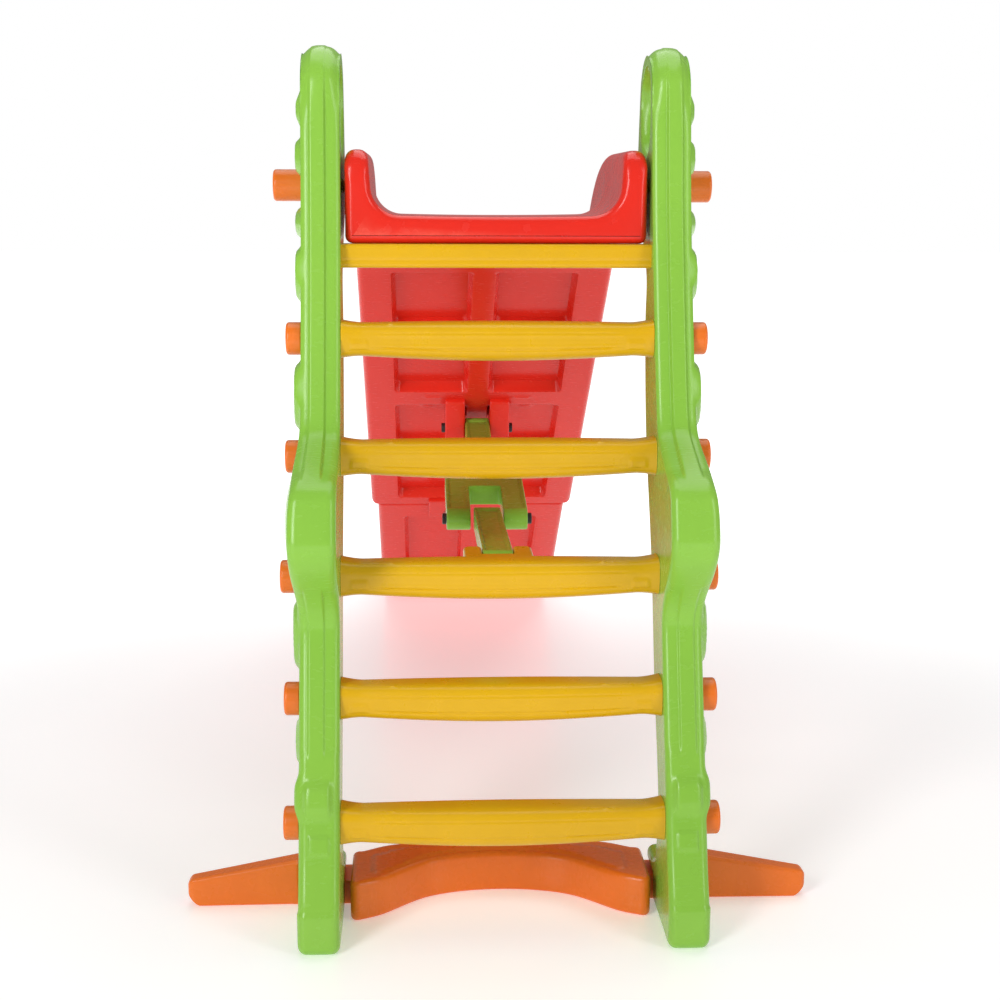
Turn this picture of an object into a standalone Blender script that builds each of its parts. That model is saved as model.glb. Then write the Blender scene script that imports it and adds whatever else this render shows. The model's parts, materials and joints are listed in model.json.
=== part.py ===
"""Folding toddler slide: a leaning five-step ladder, a two-piece chute and a knee-jointed stay between them.

Metres, +Z up. +X is to the right of a child on the ladder, +Y runs down the chute.
The origin is on the floor, in the middle of the underside of the stabiliser base.
"""

import math

import bmesh
import bpy
from mathutils import Matrix, Vector

# Driving dimensions
INNER_HALF = 0.215
FRAME_THICKNESS = 0.054
FRAME_ROUNDING = 0.010
LEAN = math.radians(17.3)
LADDER_FOOT_Y = -0.190
STEP_COUNT = 5
STEP_FIRST_Z = 0.154
STEP_PITCH = 0.1565
BRACKET_STEP = 3
STEP_HALF_DEPTH = 0.025
STEP_HALF_HEIGHT = 0.024
STEP_FLARE = 0.0045
STEP_FLARE_LENGTH = 0.030
STEP_BULGE = 0.010
STEP_SAG = 0.006
SPIGOT_RADIUS = 0.014
CAP_WALL = 0.0085
CAP_LENGTH = 0.0215
CAP_END_WALL = 0.006
BELLY_SEAT = 0.006
BELLY_DEPTH = 0.110
BELLY_RISE = 0.030
BELLY_SWELL = 0.020
FRONT_OFFSET = 0.046
BAR_RISE = 0.112
BAR_SIZE = 0.033
BAR_SOCKET = 0.012
LOOP_HEIGHT = 0.192
LOOP_HALF_DEPTH = 0.075
LOOP_RAIL = 0.036

PIVOT_BEHIND_LADDER = 0.077
PIVOT_ABOVE_BED = 0.041
PIVOT_PIN_RADIUS = 0.010
PIVOT_CAP_LENGTH = 0.0465
PIN_SKIN = 0.006

SLIDE_THICKNESS = 0.038
SLIDE_SIDE_GAP = 0.0055
SLIDE_SLOPE = math.radians(36.1)
MOUTH_LENGTH = 0.226
CREST_RADIUS = 0.36
RUNOUT_RADIUS = 0.50
RUNOUT_LENGTH = 0.08
UPPER_SLOPE_LENGTH = 0.877
LOWER_STEP_IN = 0.0125
WALL_HEIGHT = 0.090
WALL_THICKNESS = 0.033
WALL_ROUNDING = 0.014
BED_FILLET = 0.042
MOUTH_ROUNDING = 0.035
EXIT_WALL_HEIGHT = 0.030
EXIT_TAPER = 0.22
POCKET_DEPTH = 0.020
POCKET_INNER = 0.019
POCKET_BORDER = 0.055
POCKET_COUNT = 4
POCKET_RIB = 0.050
LEDGE_LENGTH = 0.045
LEDGE_THICKNESS = 0.008
LEDGE_ROOT = 0.030
LEDGE_HALF = 0.090
LEDGE_SCREW_X = 0.050

LUG_DISTANCE = 0.482
LUG_DROP = 0.027
LUG_RADIUS = 0.025
LUG_WIDTH = 0.037
ARM_HALF = 0.0225
WEB_HALF = 0.034
FORK_GAP = 0.005
PRONG_WIDTH = 0.039
SHANK_LENGTH = 0.110
FORK_LENGTH = 0.170
FORK_WEB_LENGTH = 0.060
STRUT_HALF = 0.0215
BRACE_HEIGHT = 0.034
KNUCKLE_RADIUS = 0.018
KNUCKLE_INSET = 0.0005
STRUT_REACH = 0.372
KNEE_SAG = 0.042
BRACKET_CHEEK = 0.0259
BRACKET_REACH = 0.087
BRACKET_PIVOT_REACH = 0.060
BRACKET_HEIGHT = 0.042
PIVOT_BOLT_RADIUS = 0.005
BOLT_HEAD_RADIUS = 0.009
BOLT_HEAD_LENGTH = 0.0065

BASE_HEIGHT = 0.057
BASE_SIDE_GAP = 0.0095
BASE_FRONT_Y = -0.118
BASE_ARCH_RISE = 0.096
BASE_BACK_Y = 0.024
BASE_SHOULDER_Y = -0.004
NECK_FRONT_Y = -0.060
NECK_BACK_Y = 0.000
NECK_HEIGHT = 0.035
SADDLE_SIDE_GAP = 0.008
WING_REACH = 0.156
WING_ROOT_HEIGHT = 0.066
WING_TIP_HEIGHT = 0.038
WING_ROOT_DEPTH = 0.034
WING_TIP_DEPTH = 0.026
TONGUE_TOP = 0.062
FOOT_FRONT = 0.032
BASE_SCREW_RADIUS = 0.004
BASE_SCREW_HEAD = 0.008
BASE_SCREW_GRIP = 0.013

GAP = 0.0003
RUNNING_GAP = 0.0006
ROUND_SIDES = 16

# Places worked out from them
FRAME_OUTER = INNER_HALF + FRAME_THICKNESS
BAR_Z = STEP_FIRST_Z + (STEP_COUNT - 1) * STEP_PITCH + BAR_RISE
BED_Z = BAR_Z + BAR_SIZE / 2 + GAP + SLIDE_THICKNESS
PIVOT_Z = BED_Z + PIVOT_ABOVE_BED
LOOP_TOP_Z = PIVOT_Z + LOOP_HEIGHT
UPPER_HALF = INNER_HALF - SLIDE_SIDE_GAP
LOWER_HALF = UPPER_HALF - LOWER_STEP_IN
LUG_INNER = ARM_HALF + RUNNING_GAP
LUG_OUTER = LUG_INNER + LUG_WIDTH
CAP_RADIUS = SPIGOT_RADIUS + CAP_WALL
PIN_DEPTH_IN_WALL = WALL_THICKNESS - PIN_SKIN
FORK_INNER = STRUT_HALF + FORK_GAP
FORK_HALF = FORK_INNER + PRONG_WIDTH
BRACKET_HALF = STRUT_HALF + RUNNING_GAP + BRACKET_CHEEK
BASE_HALF = INNER_HALF - BASE_SIDE_GAP
BASE_SCREW_TIP_Z = NECK_HEIGHT + BASE_SCREW_GRIP


def ladder_y(z):
    return LADDER_FOOT_Y + math.tan(LEAN) * z


def step_z(number):
    return STEP_FIRST_Z + (number - 1) * STEP_PITCH


PIVOT = Vector((0, ladder_y(PIVOT_Z) + PIVOT_BEHIND_LADDER, PIVOT_Z))
MOUTH_Y = ladder_y(BAR_Z) - BAR_SIZE / 2 + 0.008
BRACKET_TOP_Z = step_z(BRACKET_STEP) + STEP_HALF_HEIGHT - 0.002
FRONT_PIVOT = Vector((0, ladder_y(step_z(BRACKET_STEP)) + BRACKET_PIVOT_REACH,
                      BRACKET_TOP_Z - KNUCKLE_RADIUS))

# Colours
GREEN = ("green_plastic", (0.23, 0.60, 0.06), 0.32)
YELLOW = ("yellow_plastic", (0.80, 0.52, 0.01), 0.32)
RED = ("red_plastic", (0.75, 0.03, 0.02), 0.28)
ORANGE = ("orange_plastic", (0.75, 0.15, 0.02), 0.32)
BLACK = ("black_bolt", (0.02, 0.02, 0.02), 0.45)
STEEL = ("steel_screw", (0.55, 0.55, 0.56), 0.35)

# Frames that turn a flat outline or a round bar to the direction it is used in
ALONG_X = Matrix(((0, 0, 1, 0), (1, 0, 0, 0), (0, 1, 0, 0), (0, 0, 0, 1)))


def clear_scene():
    for leftover in list(bpy.data.objects):
        bpy.data.objects.remove(leftover, do_unlink=True)


def make_collection(name):
    collection = bpy.data.collections.new(name)
    bpy.context.scene.collection.children.link(collection)
    return collection


def plastic(name, colour, roughness):
    found = bpy.data.materials.get(name)
    if found:
        return found
    material = bpy.data.materials.new(name)
    material.use_nodes = True
    shader = material.node_tree.nodes["Principled BSDF"]
    shader.inputs["Base Color"].default_value = (*colour, 1)
    shader.inputs["Roughness"].default_value = roughness
    shader.inputs["Metallic"].default_value = 1.0 if name.startswith("steel") else 0.0
    return material


def mesh_object(name, builder, origin=(0, 0, 0)):
    """An object whose mesh is the bmesh that builder() fills, in world places, with its origin moved there."""
    bm = bmesh.new()
    builder(bm)
    bmesh.ops.remove_doubles(bm, verts=bm.verts, dist=1e-6)
    bmesh.ops.recalc_face_normals(bm, faces=bm.faces)
    bmesh.ops.translate(bm, verts=bm.verts, vec=-Vector(origin))
    mesh = bpy.data.meshes.new(name)
    bm.to_mesh(mesh)
    bm.free()
    made = bpy.data.objects.new(name, mesh)
    made.location = origin
    return made


def as_part(made, look):
    parts.objects.link(made)
    made.data.materials.append(plastic(*look))
    made.data.shade_smooth()
    made.data.set_sharp_from_angle(angle=math.radians(35))
    return made


def as_cutter(made):
    cutters.objects.link(made)
    made.hide_render = True
    made.display_type = "WIRE"
    return made


def combine(target, tool, operation):
    as_cutter(tool)
    step = target.modifiers.new(tool.name, "BOOLEAN")
    step.operation = operation
    step.object = tool
    return target


def cut(target, tool):
    return combine(target, tool, "DIFFERENCE")


def join(target, tool):
    return combine(target, tool, "UNION")


def round_edges(target, width, segments=2):
    bevel = target.modifiers.new("Rounded edges", "BEVEL")
    bevel.width = width
    bevel.segments = segments
    bevel.limit_method = "ANGLE"
    bevel.angle_limit = math.radians(50)
    return target


def add_box(bm, low, high, turn=None):
    """A box between two corners; turn is a matrix applied after it is placed."""
    size = Vector(high) - Vector(low)
    middle = (Vector(high) + Vector(low)) / 2
    place = Matrix.Translation(middle) @ Matrix.Diagonal((*size, 1))
    return bmesh.ops.create_cube(bm, size=1, matrix=(turn or Matrix()) @ place)["verts"]


def add_rod(bm, start, end, radius):
    """A round bar from start to end."""
    start, end = Vector(start), Vector(end)
    axis = end - start
    turn = axis.to_track_quat("Z", "Y").to_matrix().to_4x4()
    place = Matrix.Translation((start + end) / 2) @ turn
    bmesh.ops.create_cone(bm, cap_ends=True, segments=ROUND_SIDES, radius1=radius, radius2=radius,
                          depth=axis.length, matrix=place)


def box(name, low, high, origin=(0, 0, 0), turn=None):
    return mesh_object(name, lambda bm: add_box(bm, low, high, turn), origin)


def rod(name, start, end, radius, origin=(0, 0, 0)):
    return mesh_object(name, lambda bm: add_rod(bm, start, end, radius), origin)


def outline_solid(name, points, half_thickness, place, resolution=3):
    """A flat outline with thickness: points are (u, v, handle), handle AUTO for a smooth point, VECTOR for a corner."""
    data = bpy.data.curves.new(name, "CURVE")
    data.dimensions = "2D"
    data.fill_mode = "BOTH"
    data.extrude = half_thickness
    data.resolution_u = resolution
    spline = data.splines.new("BEZIER")
    spline.bezier_points.add(len(points) - 1)
    for point, (u, v, handle) in zip(spline.bezier_points, points):
        point.co = (u, v, 0)
        point.handle_left_type = handle
        point.handle_right_type = handle
    spline.use_cyclic_u = True
    guide = bpy.data.objects.new(name + "_outline", data)
    bpy.context.scene.collection.objects.link(guide)
    bpy.context.view_layer.update()
    flat = bpy.data.meshes.new_from_object(guide.evaluated_get(bpy.context.evaluated_depsgraph_get()))
    bpy.data.objects.remove(guide)
    bm = bmesh.new()
    bm.from_mesh(flat)
    bpy.data.meshes.remove(flat)
    bmesh.ops.remove_doubles(bm, verts=bm.verts, dist=1e-5)
    bmesh.ops.dissolve_limit(bm, angle_limit=math.radians(0.5), verts=bm.verts, edges=bm.edges)
    bmesh.ops.transform(bm, matrix=place, verts=bm.verts)
    bmesh.ops.recalc_face_normals(bm, faces=bm.faces)
    mesh = bpy.data.meshes.new(name)
    bm.to_mesh(mesh)
    bm.free()
    return bpy.data.objects.new(name, mesh)


def loft(bm, sections):
    """Skins a row of closed sections that have the same number of points, and caps both ends."""
    rings = [[bm.verts.new(point) for point in section] for section in sections]
    for ring, following in zip(rings, rings[1:]):
        for i in range(len(ring)):
            j = (i + 1) % len(ring)
            bm.faces.new((ring[i], ring[j], following[j], following[i]))
    bm.faces.new(reversed(rings[0]))
    bm.faces.new(rings[-1])


def arc(centre, radius, start, end, steps):
    """Points along an arc in a plane, both ends included; angles in degrees."""
    turned = [math.radians(start + (end - start) * i / steps) for i in range(steps + 1)]
    return [(centre[0] + radius * math.cos(a), centre[1] + radius * math.sin(a)) for a in turned]


# Side frames

# The belly's front in side view: height from its fullest point and share of its full depth
BELLY_PROFILE = (
    (-0.170, 0.02), (-0.125, 0.20), (-0.080, 0.62), (-0.040, 0.94), (0.003, 1.00),
    (0.030, 0.93), (0.050, 0.62), (0.066, 0.25), (0.090, 0.03), (0.125, 0.00),
)


def side_frame_outline():
    """Side view of a frame: foot, leg, forward belly by steps 3 and 4, grab loop, pivot lobe and rear tongue."""
    belly_z = (step_z(BRACKET_STEP) + step_z(BRACKET_STEP + 1)) / 2 + BELLY_RISE
    front = [(FRONT_OFFSET, 0.120)]
    front += [(FRONT_OFFSET + share * BELLY_DEPTH, belly_z + rise) for rise, share in BELLY_PROFILE]
    front += [(FRONT_OFFSET, PIVOT_Z - 0.050)]
    points = [(LADDER_FOOT_Y - FOOT_FRONT, 0, "VECTOR"), (LADDER_FOOT_Y - FOOT_FRONT, 0.060, "AUTO")]
    points += [(ladder_y(z) - offset, z, "AUTO") for offset, z in front]
    loop_y = PIVOT.y - 0.035
    loop_z = LOOP_TOP_Z - LOOP_HALF_DEPTH
    points += [(y, z, "AUTO") for y, z in arc((loop_y, loop_z), LOOP_HALF_DEPTH, 180, 0, 4)]
    lobe = PIVOT_PIN_RADIUS + 0.042
    points += [
        (PIVOT.y + lobe, PIVOT_Z + 0.030, "AUTO"),
        (PIVOT.y + lobe, PIVOT_Z - 0.020, "AUTO"),
        (PIVOT.y - 0.030, PIVOT_Z - 0.090, "AUTO"),
        (ladder_y(BAR_Z) + 0.040, BAR_Z - 0.035, "AUTO"),
        (ladder_y(step_z(5)) + 0.078, step_z(5) + 0.020, "AUTO"),
        (ladder_y(step_z(4)) + 0.098, step_z(4) + 0.020, "AUTO"),
        (ladder_y(step_z(3)) + 0.064, step_z(3), "AUTO"),
        (ladder_y(step_z(2)) + 0.062, step_z(2), "AUTO"),
        (ladder_y(step_z(1)) + 0.050, step_z(1), "AUTO"),
        (ladder_y(TONGUE_TOP) + 0.092, TONGUE_TOP + 0.008, "AUTO"),
        (ladder_y(TONGUE_TOP) + 0.110, TONGUE_TOP, "VECTOR"),
        (NECK_BACK_Y, TONGUE_TOP, "VECTOR"),
        (NECK_BACK_Y, 0, "VECTOR"),
    ]
    return points


def make_side_frame(name, side):
    place = Matrix.Translation((side * (INNER_HALF + FRAME_THICKNESS / 2), 0, 0)) @ ALONG_X
    frame = as_part(outline_solid(name, side_frame_outline(), FRAME_THICKNESS / 2, place), GREEN)
    round_edges(frame, FRAME_ROUNDING)
    swell = belly_swell(name, side)
    join(frame, swell)
    loop_y = PIVOT.y - 0.035
    hole_half = LOOP_HALF_DEPTH - LOOP_RAIL
    hole_top = LOOP_TOP_Z - LOOP_RAIL - hole_half
    hole_foot = hole_top - 0.030

    def slot(bm):
        ring = arc((loop_y, hole_top), hole_half, 0, 180, 8) + arc((loop_y, hole_foot), hole_half, 180, 360, 8)
        spans = (side * (INNER_HALF - 0.02), side * (FRAME_OUTER + 0.02))
        loft(bm, [[(x, y, z) for y, z in ring] for x in spans])

    cut(frame, mesh_object(name + "_grab_hole", slot))

    def bores(bm):
        for number in range(1, STEP_COUNT + 1):
            z = step_z(number)
            add_rod(bm, (side * (INNER_HALF - 0.01), ladder_y(z), z),
                    (side * (FRAME_OUTER + 0.05), ladder_y(z), z), SPIGOT_RADIUS + GAP)
        add_rod(bm, (side * (INNER_HALF - 0.01), PIVOT.y, PIVOT_Z),
                (side * (FRAME_OUTER + 0.05), PIVOT.y, PIVOT_Z), PIVOT_PIN_RADIUS + GAP)
        inner, outer = sorted((side * (INNER_HALF - 0.01), side * (INNER_HALF + BAR_SOCKET + GAP)))
        half = BAR_SIZE / 2 + GAP
        add_box(bm, (inner, ladder_y(BAR_Z) - half, BAR_Z - half), (outer, ladder_y(BAR_Z) + half, BAR_Z + half))

    cut(frame, mesh_object(name + "_bores", bores))

    def cap_seats(bm):
        for number in (BRACKET_STEP, BRACKET_STEP + 1):
            z = step_z(number)
            add_rod(bm, (side * cap_seat_x(number), ladder_y(z), z),
                    (side * (FRAME_OUTER + 0.08), ladder_y(z), z), CAP_RADIUS + 0.002)

    cut(frame, mesh_object(name + "_cap_seats", cap_seats))
    inner, outer = sorted((side * (INNER_HALF - 0.01), side * (FRAME_OUTER + 0.01)))
    cut(frame, box(name + "_saddle_notch", (inner, NECK_FRONT_Y - 0.0015, -0.01),
                   (outer, NECK_BACK_Y + 0.02, NECK_HEIGHT + GAP)))
    neck_x = side * (INNER_HALF + FRAME_THICKNESS / 2)
    screw_y = (NECK_FRONT_Y + NECK_BACK_Y) / 2
    cut(frame, rod(name + "_screw_hole", (neck_x, screw_y, 0), (neck_x, screw_y, BASE_SCREW_TIP_Z + 0.0008),
                   BASE_SCREW_RADIUS + GAP))
    return frame


def cap_seat_x(number):
    return FRAME_OUTER + (BELLY_SEAT if number == BRACKET_STEP else 0)


def belly_swell(name, side):
    """The belly's outward swelling: half an ellipsoid that stands out from the outer face."""
    belly_z = (step_z(BRACKET_STEP) + step_z(BRACKET_STEP + 1)) / 2
    sunk = 0.010

    def swelling(bm):
        place = Matrix.Translation((side * (FRAME_OUTER - sunk), ladder_y(belly_z) - 0.045, belly_z))
        size = Matrix.Diagonal((BELLY_SWELL + sunk, 0.100, 0.125, 1))
        bmesh.ops.create_uvsphere(bm, u_segments=20, v_segments=12, radius=1, matrix=place @ size)

    return mesh_object(name + "_belly", swelling)


# Steps, caps and the platform bar

def step_section(x):
    """One cross-section of a step: a rounded bar, flared at its ends and bowed towards the climber."""
    half_length = INNER_HALF - GAP
    from_end = half_length - abs(x)
    flare = STEP_FLARE * max(0.0, 1 - from_end / STEP_FLARE_LENGTH) ** 2
    middle = math.cos(math.pi * x / (2 * half_length))
    waist = 0.0025 * (1 - middle)
    top = STEP_HALF_HEIGHT + flare - waist
    foot = STEP_HALF_HEIGHT + flare - waist + STEP_SAG * middle
    front = STEP_HALF_DEPTH + flare + STEP_BULGE * middle
    rear = STEP_HALF_DEPTH + flare
    section = []
    for i in range(ROUND_SIDES):
        a = 2 * math.pi * i / ROUND_SIDES
        c, s = math.cos(a), math.sin(a)
        y = math.copysign(abs(c) ** 0.62, c) * (rear if c > 0 else front)
        z = math.copysign(abs(s) ** 0.62, s) * (top if s > 0 else foot)
        section.append((x, y, z))
    return section


def make_step(number):
    centre = Vector((0, ladder_y(step_z(number)), step_z(number)))
    half_length = INNER_HALF - GAP
    half = [0.0, 0.35, 0.62, 0.80, 1 - STEP_FLARE_LENGTH / half_length, 1 - 0.4 * STEP_FLARE_LENGTH / half_length, 1.0]
    stations = [-f * half_length for f in reversed(half[1:])] + [f * half_length for f in half]
    body = mesh_object(f"step_{number}", lambda bm: loft(bm, [step_section(x) for x in stations]))
    body.location = centre
    as_part(body, YELLOW)
    for side, word in ((-1, "left"), (1, "right")):
        end = cap_seat_x(number) + CAP_LENGTH - CAP_END_WALL - 0.001
        join(body, rod(f"step_{number}_{word}_spigot", (side * (half_length - 0.02), centre.y, centre.z),
                       (side * end, centre.y, centre.z), SPIGOT_RADIUS))
    return body


def add_brace_bracket(body):
    """The pair of cheeks behind the middle step that the strut's front end turns between."""
    y = ladder_y(step_z(BRACKET_STEP))
    foot = BRACKET_TOP_Z - BRACKET_HEIGHT
    block = box("bracket_block", (-BRACKET_HALF, y, foot), (BRACKET_HALF, y + BRACKET_REACH, BRACKET_TOP_Z))
    join(body, round_edges(block, 0.006))
    slot_half = STRUT_HALF + RUNNING_GAP
    slot_front = FRONT_PIVOT.y - KNUCKLE_RADIUS - 0.004
    cut(body, box("bracket_slot", (-slot_half, slot_front, foot - 0.01),
                  (slot_half, y + BRACKET_REACH + 0.02, BRACKET_TOP_Z + 0.01)))
    reach = BRACKET_HALF - 0.004
    cut(body, rod("bracket_bore", FRONT_PIVOT - Vector((reach, 0, 0)), FRONT_PIVOT + Vector((reach, 0, 0)),
                  PIVOT_BOLT_RADIUS + GAP))


def make_cap(name, side, seat, centre, length, bore):
    """A round end cap: a cup that fits over the end of a spigot or pin."""
    start = seat + GAP
    shell = rod(name, (side * start, centre.y, centre.z), (side * (seat + length), centre.y, centre.z), CAP_RADIUS)
    as_part(shell, ORANGE)
    round_edges(shell, 0.004, segments=1)
    cut(shell, rod(name + "_bore", (side * (start - 0.01), centre.y, centre.z),
                   (side * (seat + length - CAP_END_WALL), centre.y, centre.z), bore + GAP))
    return shell


def make_platform_bar():
    reach = INNER_HALF + BAR_SOCKET
    half = BAR_SIZE / 2
    y = ladder_y(BAR_Z)
    bar = box("platform_bar", (-reach, y - half, BAR_Z - half), (reach, y + half, BAR_Z + half))
    round_edges(bar, 0.004)
    return as_part(bar, YELLOW)


# Chute

def slide_path():
    """The bed's line in side view: stretches as (kind, length, start point, start slope), slope downwards."""
    drop = BED_Z - SLIDE_THICKNESS
    crest_z = CREST_RADIUS * (1 - math.cos(SLIDE_SLOPE))
    runout_z = RUNOUT_RADIUS * (1 - math.cos(SLIDE_SLOPE))
    straight = (drop - crest_z - runout_z) / math.sin(SLIDE_SLOPE)
    return (
        ("flat", MOUTH_LENGTH),
        ("crest", CREST_RADIUS * SLIDE_SLOPE),
        ("slope", straight),
        ("runout", RUNOUT_RADIUS * SLIDE_SLOPE),
        ("flat", RUNOUT_LENGTH),
    )


def path_point(distance):
    """(y, z, slope) on the bed at a distance along it from the mouth."""
    y, z, slope = MOUTH_Y, BED_Z, 0.0
    for kind, length in slide_path():
        run = min(distance, length)
        if kind == "crest":
            turned = run / CREST_RADIUS
            y += CREST_RADIUS * math.sin(turned)
            z -= CREST_RADIUS * (1 - math.cos(turned))
            slope = turned
        elif kind == "runout":
            turned = run / RUNOUT_RADIUS
            y += RUNOUT_RADIUS * (math.sin(SLIDE_SLOPE) - math.sin(SLIDE_SLOPE - turned))
            z -= RUNOUT_RADIUS * (math.cos(SLIDE_SLOPE - turned) - math.cos(SLIDE_SLOPE))
            slope = SLIDE_SLOPE - turned
        else:
            y += run * math.cos(slope)
            z -= run * math.sin(slope)
        distance -= run
        if distance <= 0:
            break
    return y, z, slope


def on_slide(distance, x, above):
    """A point at a distance along the bed, x across it and above it along its normal."""
    y, z, slope = path_point(distance)
    return Vector((x, y + above * math.sin(slope), z + above * math.cos(slope)))


SLOPE_START = MOUTH_LENGTH + CREST_RADIUS * SLIDE_SLOPE
SPLIT = SLOPE_START + UPPER_SLOPE_LENGTH
SLIDE_LENGTH = sum(length for kind, length in slide_path())
LUG_PIVOT = on_slide(SLOPE_START + LUG_DISTANCE, 0, -SLIDE_THICKNESS - LUG_DROP)


def wall_height(distance):
    """Side wall height above the bed: rounded up from the mouth and run down to the exit."""
    height = WALL_HEIGHT
    if distance < MOUTH_ROUNDING:
        height -= MOUTH_ROUNDING * (1 - math.sqrt(1 - (1 - distance / MOUTH_ROUNDING) ** 2))
    left = SLIDE_LENGTH - distance
    if left < EXIT_TAPER:
        height = EXIT_WALL_HEIGHT + (height - EXIT_WALL_HEIGHT) * math.sin(math.pi / 2 * left / EXIT_TAPER)
    return height


def slide_section(distance, half):
    """The chute's section: flat underside, rounded side walls and a filleted bed."""
    height = wall_height(distance)
    inner = half - WALL_THICKNESS
    fillet = min(BED_FILLET, height - WALL_ROUNDING - 0.001)
    right = arc((half - 0.010, -SLIDE_THICKNESS + 0.010), 0.010, -90, 0, 2)
    right += arc((half - WALL_ROUNDING, height - WALL_ROUNDING), WALL_ROUNDING, 0, 90, 3)
    right += arc((inner + WALL_ROUNDING, height - WALL_ROUNDING), WALL_ROUNDING, 90, 180, 3)
    right += arc((inner - fillet, fillet), fillet, 0, -90, 3)
    ring = right + [(-x, n) for x, n in reversed(right)]
    return [on_slide(distance, x, n) for x, n in ring]


def spaced(start, end, steps):
    return [start + (end - start) * i / steps for i in range(steps + 1)]


def slope_frame(distance):
    """A frame on the bed there: X across, Y down the slope and Z along the bed's normal."""
    y, z, slope = path_point(distance)
    return Matrix.Translation((0, y, z)) @ Matrix.Rotation(-slope, 4, "X")


def pockets(name, start, end, half, count):
    """Two columns of moulding pockets in the underside, with a rib between rows."""
    pitch = (end - start + POCKET_RIB) / count

    def rows(bm):
        for row in range(count):
            low = start + row * pitch
            turn = slope_frame(low)
            for side in (-1, 1):
                x_low, x_high = sorted((side * POCKET_INNER, side * (half - POCKET_BORDER)))
                add_box(bm, (x_low, 0, -SLIDE_THICKNESS - 0.010),
                        (x_high, pitch - POCKET_RIB, -SLIDE_THICKNESS + POCKET_DEPTH), turn)

    return mesh_object(name, rows)


def make_upper_slide():
    mouth = [MOUTH_ROUNDING * f for f in (0.0, 0.15, 0.45, 1.0)]
    crest = spaced(MOUTH_LENGTH, SLOPE_START, 6)
    stations = mouth + crest + [SPLIT]
    upper = mesh_object("upper_slide", lambda bm: loft(bm, [slide_section(s, UPPER_HALF) for s in stations]), PIVOT)
    as_part(upper, RED)
    cut(upper, pockets("upper_pockets", SLOPE_START - 0.005, SPLIT - 0.035, UPPER_HALF, POCKET_COUNT))
    turn = slope_frame(SLOPE_START + LUG_DISTANCE)

    for side, word in ((-1, "left"), (1, "right")):
        x_low, x_high = sorted((side * LUG_INNER, side * LUG_OUTER))
        join(upper, rod(f"{word}_lug_eye", (x_low, LUG_PIVOT.y, LUG_PIVOT.z), (x_high, LUG_PIVOT.y, LUG_PIVOT.z),
                        LUG_RADIUS))
        x_low, x_high = x_low + KNUCKLE_INSET, x_high - KNUCKLE_INSET
        join(upper, box(f"{word}_lug_web", (x_low, -LUG_RADIUS - 0.035, -SLIDE_THICKNESS - LUG_DROP * 0.85),
                        (x_high, LUG_RADIUS * 0.7, -SLIDE_THICKNESS + POCKET_DEPTH + 0.004), turn=turn))
    cut(upper, rod("lug_bore", LUG_PIVOT - Vector((LUG_OUTER + 0.02, 0, 0)),
                   LUG_PIVOT + Vector((LUG_OUTER + 0.02, 0, 0)), PIVOT_BOLT_RADIUS + GAP))
    for side, word in ((-1, "left"), (1, "right")):
        cut(upper, rod(f"{word}_pivot_hole", (side * (UPPER_HALF + 0.02), PIVOT.y, PIVOT.z),
                       (side * (UPPER_HALF - PIN_DEPTH_IN_WALL - 0.001), PIVOT.y, PIVOT.z),
                       PIVOT_PIN_RADIUS + GAP))
    join(upper, mesh_object("ledge", lambda bm: loft(bm, ledge_sections())))
    for side, word in ((-1, "left"), (1, "right")):
        cut(upper, rod(f"{word}_ledge_hole", *ledge_screw_line(side, -SLIDE_THICKNESS - 0.03, 0),
                       BASE_SCREW_RADIUS + GAP))
    return upper


def ledge_sections():
    """The ledge that carries the lower chute: an L that is rooted in the upper chute's underside."""
    turn = slope_frame(SPLIT)
    top = -SLIDE_THICKNESS - GAP
    corner = -0.001
    ring = [(-LEDGE_ROOT, top - LEDGE_THICKNESS), (LEDGE_LENGTH, top - LEDGE_THICKNESS), (LEDGE_LENGTH, top),
            (corner, top), (corner, top + 0.010), (-LEDGE_ROOT, top + 0.010)]
    return [[turn @ Vector((x, y, z)) for y, z in ring] for x in (-LEDGE_HALF, LEDGE_HALF)]


def ledge_screw_line(side, low, high):
    """Two points on a ledge screw's axis, at two heights along the bed's normal."""
    turn = slope_frame(SPLIT)
    x = side * LEDGE_SCREW_X
    y = LEDGE_LENGTH / 2
    return turn @ Vector((x, y, low)), turn @ Vector((x, y, high))


def make_lower_slide():
    slope_end = SLIDE_LENGTH - RUNOUT_LENGTH - RUNOUT_RADIUS * SLIDE_SLOPE
    runout = spaced(slope_end, SLIDE_LENGTH - RUNOUT_LENGTH, 6)
    taper = [SLIDE_LENGTH - RUNOUT_LENGTH / 2, SLIDE_LENGTH]
    stations = [SPLIT + GAP] + runout + taper
    lower = mesh_object("lower_slide", lambda bm: loft(bm, [slide_section(s, LOWER_HALF) for s in stations]), PIVOT)
    as_part(lower, RED)
    cut(lower, pockets("lower_pockets", SPLIT + LEDGE_LENGTH + 0.015, slope_end - 0.010, LOWER_HALF, 1))
    for side, word in ((-1, "left"), (1, "right")):
        cut(lower, rod(f"{word}_lower_hole", *ledge_screw_line(side, -SLIDE_THICKNESS - 0.02, -0.010),
                       BASE_SCREW_RADIUS + GAP))
    return lower


def headed_screw(name, foot, tip, radius, head_radius, head_length, look, origin=(0, 0, 0)):
    """A bolt or screw from the outer face of its head to its tip, in one piece."""
    foot, tip = Vector(foot), Vector(tip)
    along = (tip - foot).normalized()
    screw = rod(name, foot, foot + along * head_length, head_radius, origin)
    as_part(screw, look)
    join(screw, rod(name + "_shank", foot + along * head_length * 0.5, tip, radius))
    return screw


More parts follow.
